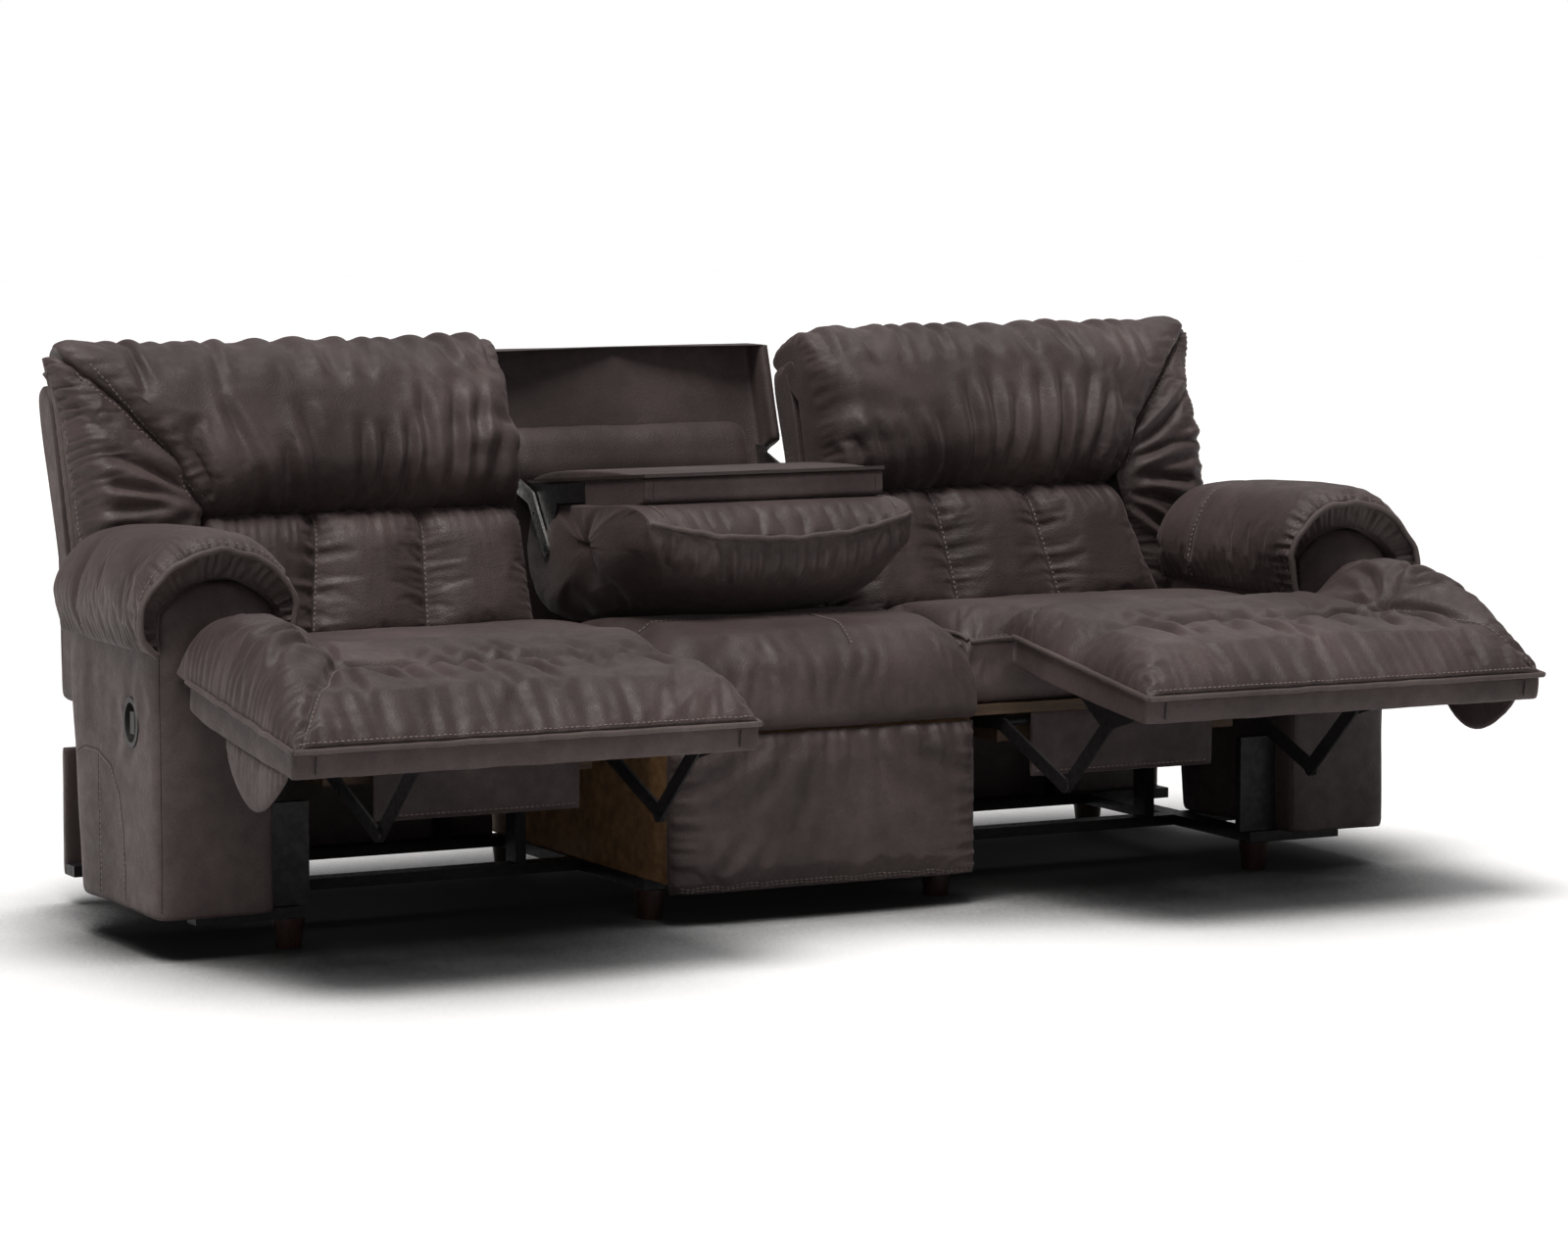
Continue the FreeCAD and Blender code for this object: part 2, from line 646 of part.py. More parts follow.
# Arms: an upholstered shell over a wooden frame, with a pad on top.
def make_arm(name, side):
    xs = span(side, arm_inner, half_width)
    cover = doc.addObject("PartDesign::Body", name + "_arm_cover")
    sketch = sketch_on(cover, "XZ_Plane")
    left, right = Size(0), d.arm_width
    corners = [(left, arm_top), (left, rail_top), (right, rail_top), (right, arm_top)]
    points = [FreeCAD.Vector(float(a), float(b), 0) for a, b in corners]
    for i in range(3):
        sketch.addGeometry(Part.LineSegment(points[i], points[i + 1]), False)
    peak = FreeCAD.Vector(float(d.arm_width) / 2, float(arm_top + d.arm_arch), 0)
    sketch.addGeometry(Part.Arc(points[3], peak, points[0]), False)
    for i in range(2):
        sketch.addConstraint(Sketcher.Constraint("Coincident", i, 2, i + 1, 1))
    sketch.addConstraint(Sketcher.Constraint("Coincident", 2, 2, 3, 1))
    sketch.addConstraint(Sketcher.Constraint("Coincident", 3, 2, 0, 1))
    for i, (a, b) in enumerate(corners[:3]):
        fix(sketch, "DistanceX", (i, 1), a)
        fix(sketch, "DistanceY", (i, 1), b)
    fix(sketch, "DistanceX", (2, 2), right)
    fix(sketch, "DistanceY", (2, 2), arm_top)
    fix(sketch, "Radius", (3,), d.arm_width * d.arm_width / (d.arm_arch * 8) + d.arm_arch / 2)
    pad = cover.newObject("PartDesign::Pad", "arm_block")
    pad.Profile = sketch
    pad.Reversed = True
    bind(pad, "Length", d.arm_depth_high)
    slope = (d.arm_depth_high - d.arm_depth_low) / d.arm_side
    slant = sketch_on(cover, "YZ_Plane")
    draw_outline(slant, [(d.arm_depth_low, rail_top), (d.arm_depth_high, arm_top),
                         (d.arm_depth_high + 1, arm_top), (d.arm_depth_high + 1, rail_top)])
    rear = cover.newObject("PartDesign::Pocket", "arm_slant")
    rear.Profile = slant
    rear.Reversed = True
    bind(rear, "Length", d.arm_width)
    hollow = sketch_on(cover, "YZ_Plane", d.arm_wall)
    inside_top = arm_top - d.arm_wall
    inside_low = d.arm_depth_low - d.arm_wall
    inside_high = inside_low + slope * (inside_top - rail_top)
    draw_outline(hollow, [(d.arm_wall, rail_top), (d.arm_wall, inside_top),
                          (inside_high, inside_top), (inside_low, rail_top)])
    cavity = cover.newObject("PartDesign::Pocket", "arm_hollow")
    cavity.Profile = hollow
    cavity.Reversed = True
    bind(cavity, "Length", d.arm_width - d.arm_wall * 2)
    hole_start = d.arm_width - d.arm_wall if side > 0 else Size(0)
    hole = sketch_on(cover, "YZ_Plane", hole_start)
    draw_outline(hole, oval_corners(cup_wide + d.cup_wall, cup_long + d.cup_wall))
    handle_hole = cover.newObject("PartDesign::Pocket", "handle_hole")
    handle_hole.Profile = hole
    handle_hole.Reversed = True
    bind(handle_hole, "Length", d.arm_wall)
    keep(name + "_arm_cover", place(cover, xs[0], 0, 0))

    inner = span(side, arm_inner + d.arm_wall, half_width - d.arm_wall)
    member = d.arm_member
    frame = side_body(name + "_arm_frame", inner,
                      [[(d.arm_wall, rail_top), (inside_low, rail_top),
                        (inside_high, inside_top), (d.arm_wall, inside_top)]],
                      [[(d.arm_wall + member, rail_top + member), (inside_low - member, rail_top + member),
                        (inside_high - member, inside_top - member),
                        (d.arm_wall + member, inside_top - member)]])
    keep(name + "_arm_frame", frame)
    keep_form(name + "_arm_pad", mirrored(arm_pad(), side))


def oval_corners(wide, long):
    """Corners of an outline whose sides touch an upright oval round the release handle."""
    reach = 1 / math.cos(math.pi / OVAL_CORNERS)
    turns = [2 * math.pi * i / OVAL_CORNERS for i in range(OVAL_CORNERS)]
    return [(d.handle_place + wide * (reach * math.cos(turn)),
             d.handle_level + long * (reach * math.sin(turn))) for turn in turns]


def arm_pad():
    """Pillow on top of the arm: sections across Y over the arched top, drawn in at both ends."""
    x0, x1 = float(arm_inner - d.arm_pad_ear), float(half_width + d.arm_pad_ear)
    middle = (x0 + x1) / 2
    arch, rise = float(d.arm_arch), float(d.arm_pad_rise)
    peak = float(arm_top + d.arm_arch + d.soft_gap)
    radius = float(d.arm_width) ** 2 / (8 * arch) + arch / 2 + float(d.soft_gap)
    front, rear = -float(d.arm_pad_front), float(d.arm_depth_high)
    bulge = 10.0
    wires = []
    for share, height, draw_in in ARM_PAD_SECTIONS:
        y = front + (rear - front) * share
        a, b = x0 + draw_in, x1 - draw_in
        low = peak - radius + math.sqrt(radius ** 2 - (a + bulge - middle) ** 2)
        shoulder = peak - arch * 0.45 + rise * height * 0.55

        def seat(x, z, y=y):
            return FreeCAD.Vector(x, y, z)
        wires.append(wire(seat, [
            ((a + bulge, low), (middle, peak)),
            ((b - bulge, low), (b, (low + shoulder) / 2)),
            ((b - bulge, shoulder), (middle, peak + rise * height)),
            ((a + bulge, shoulder), (a, (low + shoulder) / 2))]))
    return loft(wires)


# Release handle: a rim with a cup in the arm's outer side, and a lever inside it.
def oval_block(label, side, wide, long, start, end):
    """An oval block that lies along X, from start to end beyond the arm's outer side."""
    xs = span(side, half_width + start, half_width + end)
    item = doc.addObject("Part::Ellipse", label + "_oval")
    item.Placement = FreeCAD.Placement(FreeCAD.Vector(), FreeCAD.Rotation(FreeCAD.Vector(0, 1, 0), -90))
    bind(item, "MajorRadius", long)
    bind(item, "MinorRadius", wide)
    block = doc.addObject("Part::Extrusion", label)
    block.Base = item
    block.DirMode = "Custom"
    block.Dir = (1, 0, 0)
    block.Solid = True
    bind(block, "LengthFwd", xs[1] - xs[0])
    bind(item, "Placement.Base.x", xs[0])
    bind(item, "Placement.Base.y", d.handle_place)
    bind(item, "Placement.Base.z", d.handle_level)
    return block


def make_handle(name, side):
    outer = oval_block(name + "_rim", side, d.handle_wide, d.handle_long, Size(0), d.handle_proud)
    fit_wide, fit_long = cup_wide - d.cup_play, cup_long - d.cup_play
    cup = oval_block(name + "_cup", side, fit_wide + d.cup_wall, fit_long + d.cup_wall,
                     -d.handle_cup, Size(0))
    body = fuse(name + "_bezel_blank", [outer, cup])
    hollow = oval_block(name + "_cup_hollow", side, fit_wide, fit_long,
                        -d.handle_cup + d.cup_wall, d.handle_proud)
    keep(name + "_handle_bezel", cut(name + "_handle_bezel", body, hollow))
    lever_out = half_width + d.handle_proud - d.play
    hinge_y = d.handle_place - fit_wide * d.lever_share
    pin_edge = d.lever_pin / fit_wide + d.lever_share
    pin_half = fit_long * root(1 - pin_edge * pin_edge) - d.soft_gap
    lever_half = cup_long * d.lever_long
    paddle = box(name + "_paddle", span(side, lever_out - d.lever_thick, lever_out),
                 (hinge_y, d.handle_place + d.lever_lip),
                 (d.handle_level - lever_half, d.handle_level + lever_half))
    pin = doc.addObject("Part::Cylinder", name + "_lever_pin")
    bind(pin, "Radius", d.lever_pin)
    bind(pin, "Height", pin_half * 2)
    place(pin, (lever_out - d.lever_thick / 2) * side, hinge_y, d.handle_level - pin_half)
    keep(name + "_release_lever", fuse(name + "_release_lever", [paddle, pin]))


# Middle section: plywood sides, deck, cushion, front panel and rear shell.
def make_console():
    half = d.console_half
    inner = half - d.console_inset
    front = -d.console_front + d.panel_thick
    outline = [(front, rail_top), (d.shell_front, rail_top), (d.shell_front, d.console_deck),
               (front, d.console_deck)]
    sides = [side_body(name + "_side", span(side, inner - d.ply, inner), [outline]) for name, side in SIDES]
    keep("console_side_frames", group("console_side_frames", sides))
    deck_top = d.console_deck + d.deck_thick
    keep("console_seat_deck", box("deck", (-inner, inner), (front, d.console_seat_rear + d.deck_behind),
                                  (d.console_deck, deck_top)))
    keep("console_front_panel", box("front_panel", (-half, half), (-d.console_front, front),
                                    (d.foot_height, d.console_deck)))
    side_x = half - d.cushion_side
    top = d.console_seat_top
    cushion = lying_cushion((-side_x, side_x), (-d.console_front - d.cushion_over, d.console_seat_rear),
                            deck_top + d.soft_gap, top - d.cushion_nose, top - d.cushion_tail, top)
    keep_form("console_seat_cushion", cushion)
    make_rear_shell()
    keep_form("table_bolster", table_bolster())


def on_shell(level):
    """Depth of the rear shell's front face at a height over its bend."""
    return d.shell_front + (level - d.shell_bend) * sine(d.shell_lean) / cosine(d.shell_lean)


def make_rear_shell():
    top = on_shell(d.shell_top)
    behind = d.shell_front + d.shell_thick
    outline = [(d.shell_front, rail_top), (d.shell_front, d.shell_bend), (top, d.shell_top),
               (top + d.shell_thick, d.shell_top), (behind, d.shell_bend), (behind, rail_top)]
    pieces = [side_body("shell_panel", (-d.console_half, d.console_half), [outline])]
    low = on_shell(d.wing_start)
    wing = [(low, d.wing_start), (low - d.wing_reach, d.wing_start), (top - d.wing_reach, d.shell_top),
            (top, d.shell_top)]
    for name, side in SIDES:
        wing_x = span(side, d.console_half - d.wing_thick, d.console_half)
        pieces.append(side_body(name + "_wing", wing_x, [wing]))
    keep("rear_shell", fuse("rear_shell", pieces))


def table_bolster():
    """Padded roll on the rear shell behind the table: sections across X, drawn in at the ends."""
    level, rise = float(d.bolster_level), float(d.bolster_rise)
    nose, half = float(d.bolster_nose), float(d.bolster_half)
    wires = []
    for x, draw_in in rounded_stations(-half, half, float(d.bolster_edge), 12.0):
        low, high = level + draw_in, level + rise - draw_in
        middle = (low + high) / 2
        deep = float(d.bolster_deep) - draw_in

        def seat(ahead, z, x=x):
            return FreeCAD.Vector(x, float(on_shell(z)) - float(d.soft_gap) - ahead, z)
        wires.append(wire(seat, [
            ((0, low), (deep / 2, low - nose / 4)),
            ((deep * 0.9, low + nose), (deep, middle)),
            ((deep * 0.9, high - nose), (deep / 2, high - nose / 8)),
            ((0, high - nose / 4), None)]))
    return loft(wires)


# Folding middle back: table, cup holders, cushion and its hinge.
def make_fold():
    core_half, core_end = d.table_half - d.tray_over, d.table_long - d.tray_over
    core_low = d.table_lid + d.table_core
    core = table_block("table_core", core_half, d.tray_over, core_end, d.table_lid, core_low)
    lid = table_block("table_lid", d.table_half, Size(0), d.table_long, Size(0), d.table_lid)
    cup_outer = d.cup_radius + d.cup_skin
    cup_low = d.table_lid + d.cup_deep
    centres = (-d.cup_across, d.cup_across)
    for part, name, deep in ((core, "table_core", cup_low), (lid, "table_tray", d.table_lid)):
        wells = [table_rod(name + "_well", x, cup_outer + d.well_play, -d.play, deep) for x in centres]
        keep(name, cut(name, part, fuse(name + "_wells", wells)))
    cups = []
    for x in centres:
        outer = table_rod("cup_wall", x, cup_outer, 0, cup_low)
        lip = table_rod("cup_lip", x, cup_outer + d.cup_lip, -d.cup_lip_rise, 0)
        inner = table_rod("cup_inside", x, d.cup_radius, -d.cup_lip_rise - d.play, cup_low - d.cup_skin)
        cups.append(cut("cup", fuse("cup_blank", [outer, lip]), inner))
    keep("cup_holders", group("cup_holders", cups))
    keep_form("folding_back_cushion", fold_cushion())
    make_fold_plates(core_half)
    make_hinge_bars()


def make_fold_plates(core_half):
    """Steel plates on the table's sides, each with a flange, a web down to the hinge and a pin."""
    hinge = (d.hinge_place, d.hinge_level)
    plate_in = d.fold_half + d.play * 2
    plate_out = plate_in + d.plate
    thick = plate_out - core_half
    top, low = d.fold_flange_top, d.fold_flange_low
    flange = [on_table(d.fold_plate_near, top), on_table(d.fold_plate_far, top),
              on_table(d.fold_plate_far, low), on_table(d.fold_plate_near, low)]
    web = [on_table(d.fold_web_near, top), on_table(d.fold_web_far, top),
           (hinge[0] - d.eye, hinge[1]), (hinge[0] + d.eye, hinge[1])]
    pin_long = d.plate + d.play * 2
    plates = []
    for name, side in SIDES:
        start = Size(0) if side < 0 else thick - d.plate
        pin_start = -pin_long if side < 0 else thick
        forms = [dict(form=flange, start=Size(0), depth=thick),
                 dict(form=web, start=start, depth=d.plate),
                 dict(form=(hinge, d.eye), start=start, depth=d.plate),
                 dict(form=(hinge, d.hinge_pin), start=pin_start, depth=pin_long)]
        plates.append(side_body(name + "_fold_plate", span(side, core_half, plate_out), forms))
    keep("folding_hinge_plates", group("folding_hinge_plates", plates))


def make_hinge_bars():
    """Bent bars that stand out of the rear shell and carry the folding back's pins."""
    hinge = (d.hinge_place, d.hinge_level)
    knee = (d.hinge_place + d.hinge_knee_run, d.hinge_level + d.hinge_knee_rise)
    low, high = d.hinge_root - d.hinge_foot / 2, d.hinge_root + d.hinge_foot / 2
    foot = [(on_shell(low), low), (on_shell(high), high), (on_shell(high) - d.hinge_foot_deep, high),
            (on_shell(low) - d.hinge_foot_deep, low)]
    start = (on_shell(d.hinge_root) - d.hinge_foot_deep, d.hinge_root)
    forms = bar_forms(start, knee, d.hinge_bar) + bar_forms(knee, hinge, d.hinge_bar) + [foot]
    bars = []
    for name, side in SIDES:
        bars.append(side_body(name + "_hinge_bar", span(side, fixed_plate, fixed_plate + d.plate), forms,
                              [(hinge, d.hinge_pin + d.pin_play)]))
    keep("console_hinge_bars", group("console_hinge_bars", bars))


def table_block(label, half, start, end, top, bottom):
    outline = [on_table(start, top), on_table(end, top), on_table(end, bottom), on_table(start, bottom)]
    return side_body(label, (-as_size(half), as_size(half)), [outline])


def table_rod(label, x, radius, top, bottom):
    """A round form square to the table, from top to bottom under the table's upper face."""
    item = doc.addObject("Part::Cylinder", label)
    turn = FreeCAD.Rotation(FreeCAD.Vector(1, 0, 0), 180 - float(d.table_tilt))
    item.Placement = FreeCAD.Placement(FreeCAD.Vector(), turn)
    bind(item, "Placement.Rotation.Angle", 180 - d.table_tilt)
    bind(item, "Radius", radius)
    bind(item, "Height", as_size(bottom) - top)
    y, z = on_table(d.cup_along, top)
    return place(item, x, y, z)


def fold_cushion():
    """The folding back's cushion, face down: a roll round the hinge, a crowned face and a
    rounded head end."""
    sin_tilt, cos_tilt = float(sine(d.table_tilt)), float(cosine(d.table_tilt))
    rel_y = float(d.hinge_place - d.table_rear)
    rel_z = float(d.hinge_level - d.table_level)
    hinge_along = -rel_y * cos_tilt + rel_z * sin_tilt
    hinge_under = -rel_y * sin_tilt - rel_z * cos_tilt
    base = float(d.table_lid + d.table_core + d.soft_gap)
    end = float(d.fold_end)
    half = float(d.fold_half)
    roll = float(d.fold_roll)
    head, head_round, fullness = 38.0, 70.0, 3.0
    wires = []
    for x, draw_in in rounded_stations(-half, half, float(d.fold_edge), 18.0):
        sag = (x / half) ** 2 * 6.0
        r = roll - draw_in * 0.8 - sag * 0.3
        along0 = hinge_along - math.sqrt(max(r * r - (hinge_under - base) ** 2, 1.0))
        start_turn = math.atan2(base - hinge_under, along0 - hinge_along) % (2 * math.pi)
        mid_turn = (start_turn + math.pi / 2) / 2
        mid = (hinge_along + r * math.cos(mid_turn), hinge_under + r * math.sin(mid_turn))
        face = hinge_under + r
        far = end - draw_in
        turn_in = far - head_round

        def seat(along, under, x=x):
            return FreeCAD.Vector(x, *(float(v) for v in on_table(along, under)))
        wires.append(wire(seat, [
            ((along0, base), None),
            ((far - head, base), (far, base + (face - base) * 0.42)),
            ((turn_in, face - fullness * 4), ((hinge_along + turn_in) / 2, face + fullness)),
            ((hinge_along, face), mid)]))
    return loft(wires)


# Outer seats: box frame, straps, cushion, hanging panel and steel side plates.
def make_seat(name, side):
    box_x = (link_inner + second_plate, link_outer - second_plate)
    member = d.box_member
    hole_x = (box_x[0] + member, box_x[1] - member)
    past = d.play
    outer_box = box(name + "_box", span(side, *box_x), (d.box_front, d.box_rear), (d.box_bottom, box_top))
    inner_box = box(name + "_box_inside", span(side, *hole_x), (d.box_front + member, d.box_rear - member),
                    (d.box_bottom - past, box_top + past))
    ledge_x = (seat_inner + d.ledge_side, seat_outer - d.ledge_side)
    outer_ledge = box(name + "_ledge", span(side, *ledge_x), (d.ledge_front, d.ledge_rear),
                      (box_top, ledge_top))
    inner_ledge = box(name + "_ledge_inside", span(side, *hole_x),
                      (d.box_front + member, d.ledge_rear - member), (box_top - past, ledge_top + past))
    frames = [cut(name + "_lower_frame", outer_box, inner_box),
              cut(name + "_upper_frame", outer_ledge, inner_ledge)]
    keep(name + "_seat_frame", fuse(name + "_seat_frame", frames))

    straps = []
    room = hole_x[1] - hole_x[0]
    for i in range(STRAPS):
        middle = hole_x[0] + room * ((i + 0.5) / STRAPS)
        straps.append(box(name + "_strap", span(side, middle - d.strap_wide / 2, middle + d.strap_wide / 2),
                          (d.box_front + member - d.strap_lap, d.ledge_rear - member + d.strap_lap),
                          (ledge_top, strap_top)))
    keep(name + "_seat_straps", group(name + "_seat_straps", straps))

    cushion = lying_cushion((seat_inner + d.cushion_side, seat_outer), (d.seat_front, d.seat_rear),
                            cushion_bottom, d.seat_crown - d.seat_nose, d.seat_crown - d.seat_fall,
                            d.seat_crown)
    keep_form(name + "_seat_cushion", mirrored(cushion, side))

    ahead, hem = -d.apron_front, d.box_bottom - d.apron_drop
    apron = [(ahead, hem), (ahead + d.apron_thick, hem), (ahead + d.apron_thick, box_top), (ahead, box_top)]
    keep(name + "_front_apron",
         side_body(name + "_front_apron", span(side, apron_inner, apron_outer), [apron]))
    make_seat_plates(name, side)


def make_seat_plates(name, side):
    """Steel plates on the seat box's sides, from the footrest's pivot to the recline pivot."""
    pivot = (d.pivot_place, d.pivot_level)
    recline = (d.back_place, d.back_level)
    web = [(d.pivot_place, d.pivot_level - d.eye), (d.box_rear - d.eye, d.box_bottom + d.play),
           (d.back_place + d.eye, d.back_level), (d.back_place - d.eye, d.back_level + d.play),
           (d.ledge_rear + d.play, box_top - d.play), (d.pivot_place, box_top - d.play)]
    plates = []
    hole = (pivot, d.drive_tube + d.pin_play)
    for row, inner, outer in (("inner", link_inner + plate_step, link_inner + second_plate),
                              ("outer", link_outer - second_plate, link_outer - plate_step)):
        plates.append(side_body("%s_%s_seat_plate" % (name, row), span(side, inner, outer),
                                [web, (pivot, d.eye), (recline, d.eye)], [hole]))
    for row, start, end in (
            ("inner", link_inner - half_plate - d.pin_head, link_inner + plate_step),
            ("outer", link_outer - plate_step, link_outer + half_plate + d.pin_head)):
        plates.append(rod("%s_%s_recline_pin" % (name, row), span(side, start, end), d.back_place,
                          d.back_level, d.link_pin))
    keep(name + "_seat_plates", fuse(name + "_seat_plates", plates))


def make_runners(name, side):
    """Fixed rails on two posts each, which the seat box slides on."""
    half = d.rail_width / 2
    top = d.box_bottom - d.soft_gap
    under = top - d.runner_rise
    start, end = d.rail_middle - d.runner_ahead, d.foot_rear + half
    outline = [(start, under), (d.rail_middle - half, under), (d.rail_middle - half, rail_top),
               (d.rail_middle + half, rail_top), (d.rail_middle + half, under), (d.foot_rear - half, under),
               (d.foot_rear - half, rail_top), (end, rail_top), (end, top), (start, top)]
    near = link_inner + d.runner_inset
    far = link_outer - d.runner_inset
    rails = [side_body(name + "_inner_runner", span(side, near, near + d.runner_wide), [outline]),
             side_body(name + "_outer_runner", span(side, far - d.runner_wide, far), [outline])]
    keep(name + "_seat_runners", group(name + "_seat_runners", rails))


# Outer backs: wooden frame, steel brackets, lumbar cushion, head pillow, wing and rear cover.
def make_back(name, side):
    front = -d.frame_ahead
    rear = front + d.back_thick
    x0, x1 = seat_inner + d.wing_thick, back_outer - d.back_member / 2
    member = d.back_member
    past = d.play
    low, high = d.frame_start, d.back_high
    slab = [on_back(front, low), on_back(rear, low), on_back(rear, high), on_back(front, high)]
    window = [on_back(front - past, low + member), on_back(rear + past, low + member),
              on_back(rear + past, high - member), on_back(front - past, high - member)]
    keep(name + "_back_frame", side_body(name + "_back_frame", span(side, x0, x1), [slab],
                                         [dict(form=window, start=member, depth=x1 - x0 - member * 2)]))
    make_back_brackets(name, side, rear)
    make_back_cushions(name, side, front, rear)
    make_back_cover(name, side, rear)


def make_back_brackets(name, side, rear):
    """Steel angles behind the back frame, each with an eye on the recline pivot."""
    pivot = (d.back_place, d.back_level)
    low, wide = d.frame_start - d.eye / 2, rear + d.bracket_wide
    outline = [on_back(-d.eye * 0.7, -d.eye * 0.7), on_back(d.eye, -d.eye), on_back(wide, low),
               on_back(wide, d.bracket_tall), on_back(rear, d.bracket_tall), on_back(rear, low),
               on_back(-d.eye * 0.6, d.eye * 0.8)]
    brackets = []
    for row, plane in (("inner", link_inner), ("outer", link_outer)):
        xs = span(side, plane - half_plate, plane + half_plate)
        brackets.append(side_body("%s_%s_back_bracket" % (name, row), xs, [outline, (pivot, d.eye)],
                                  [(pivot, d.link_pin + d.pin_play)]))
    keep(name + "_back_brackets", group(name + "_back_brackets", brackets))


def make_back_cushions(name, side, front, rear):
    soft, behind = float(front - d.soft_gap), float(rear)
    inner = float(seat_inner + d.soft_edge)
    outer = float(back_outer)
    deep = soft - float(d.lumbar_deep)
    lumbar = [(along, inner + draw_in, outer - inset, deep + set_back, soft)
              for along, draw_in, inset, set_back in LUMBAR_SECTIONS]
    keep_form(name + "_lumbar_cushion", mirrored(standing_cushion(lumbar, lobes=3), side))

    deep = soft - float(d.pillow_deep)
    pillow = [(along, inner + draw_in, outer - inset, deep + set_back, soft)
              for along, draw_in, inset, set_back in PILLOW_SECTIONS]
    pillow += [(along, inner + draw_in, outer - inset, deep + set_back, behind + over)
               for along, draw_in, inset, set_back, over in PILLOW_TOP_SECTIONS]
    keep_form(name + "_head_pillow", mirrored(standing_cushion(pillow), side))

    wing = [(along, outer - inset, outer - draw_in, soft - depth, soft)
            for along, inset, draw_in, depth in WING_SECTIONS]
    keep_form(name + "_back_wing", mirrored(standing_cushion(wing), side))


def make_back_cover(name, side, rear):
    """Upholstered box behind the back frame, open to the front and at its bottom."""
    skin, past, hem = d.cover_skin, d.play, d.cover_bottom
    low, high = d.cover_start, d.wing_top
    behind = rear + d.cover_deep
    bend = on_back(behind, d.cover_bend)
    outline = [on_back(rear, low), on_back(rear, high), on_back(behind, high), bend,
               (bend[0], hem), (d.back_place + d.cover_foot, hem)]
    inside = [on_back(rear - past, low), on_back(rear - past, high - skin * 2),
              on_back(behind - skin, high - skin * 2), on_back(behind - skin, d.cover_bend),
              (bend[0] - skin, hem - skin), (d.back_place + d.cover_foot / 2, hem - skin)]
    x_in, x_out = seat_inner + d.cushion_side, back_outer
    keep(name + "_back_cover",
         side_body(name + "_back_cover", span(side, x_in, x_out), [outline],
                   [dict(form=inside, start=skin, depth=x_out - x_in - skin * 2)]))


# Footrest: rear links with their tube, front links, brackets, board, pad and flap.
def make_footrest(name, side):
    make_links(name, side)
    toe = (-d.toe_place, d.toe_level)
    low, high = d.board_drop, d.board_drop + d.board_thick
    flange, rise = d.bracket_half, low - d.bracket_rise
    outline = [on_board(-d.eye, -d.eye / 2), on_board(d.eye, -d.eye / 2), on_board(flange, rise),
               on_board(flange, low), on_board(-flange, low), on_board(-flange, rise)]
    brackets = []
    for row, plane in (("inner", link_inner), ("outer", link_outer)):
        xs = span(side, plane - half_plate, plane + half_plate)
        brackets.append(side_body("%s_%s_footrest_bracket" % (name, row), xs,
                                  [outline, (toe, d.link_half)], [(toe, d.link_pin + d.pin_play)]))
    keep(name + "_footrest_brackets", group(name + "_footrest_brackets", brackets))

    board = [on_board(-d.board_behind, low), on_board(board_front, low), on_board(board_front, high),
             on_board(-d.board_behind, high)]
    keep(name + "_footrest_board",
         side_body(name + "_footrest_board", span(side, board_inner, board_outer), [board]))
    keep_form(name + "_footrest_pad", mirrored(footrest_pad(), side))

    ahead, hem = board_front - d.flap_front, low - d.flap_drop
    flap = [on_board(ahead, low), on_board(ahead, hem), on_board(ahead - d.flap_long, hem),
            on_board(ahead - d.flap_long, low)]
    flap_x = span(side, board_outer - d.flap_thick, board_outer)
    keep(name + "_footrest_flap", side_body(name + "_footrest_flap", flap_x, [flap]))


def make_links(name, side):
    """Rear links with the tube that turns them, and the front links with their footrest pins."""
    pivot = (d.pivot_place, d.pivot_level)
    knee = (-d.knee_place, d.knee_level)
    toe = (-d.toe_place, d.toe_level)
    head = d.pin_head - d.play
    rears, fronts = [], []
    for row, plane, inward in (("inner", link_inner, 1), ("outer", link_outer, -1)):
        rears.append(side_body("%s_%s_rear_link" % (name, row),
                               span(side, plane - half_plate, plane + half_plate),
                               bar_forms(pivot, knee, d.link_half)))
        near, far = plane + half_plate * inward, plane + (second_plate + d.play) * inward
        knee_x = (near, far) if inward > 0 else (far, near)
        rears.append(rod("%s_%s_knee_pin" % (name, row), span(side, *knee_x), knee[0], knee[1], d.link_pin))

        near, far = plane + plate_step * inward, plane + second_plate * inward
        link_x = (near, far) if inward > 0 else (far, near)
        link = side_body("%s_%s_front_link" % (name, row), span(side, *link_x),
                         bar_forms(knee, toe, d.link_half), [(knee, d.link_pin + d.pin_play)])
        far = plane - (half_plate + head) * inward
        toe_x = (far, near) if inward > 0 else (near, far)
        pin = rod("%s_%s_toe_pin" % (name, row), span(side, *toe_x), toe[0], toe[1], d.link_pin)
        fronts.append(fuse("%s_%s_front_link_and_pin" % (name, row), [link, pin]))
    rears.append(rod(name + "_drive_tube", span(side, link_inner, link_outer), pivot[0], pivot[1],
                     d.drive_tube))
    keep(name + "_rear_links", fuse(name + "_rear_links", rears))
    keep(name + "_front_links", group(name + "_front_links", fronts))


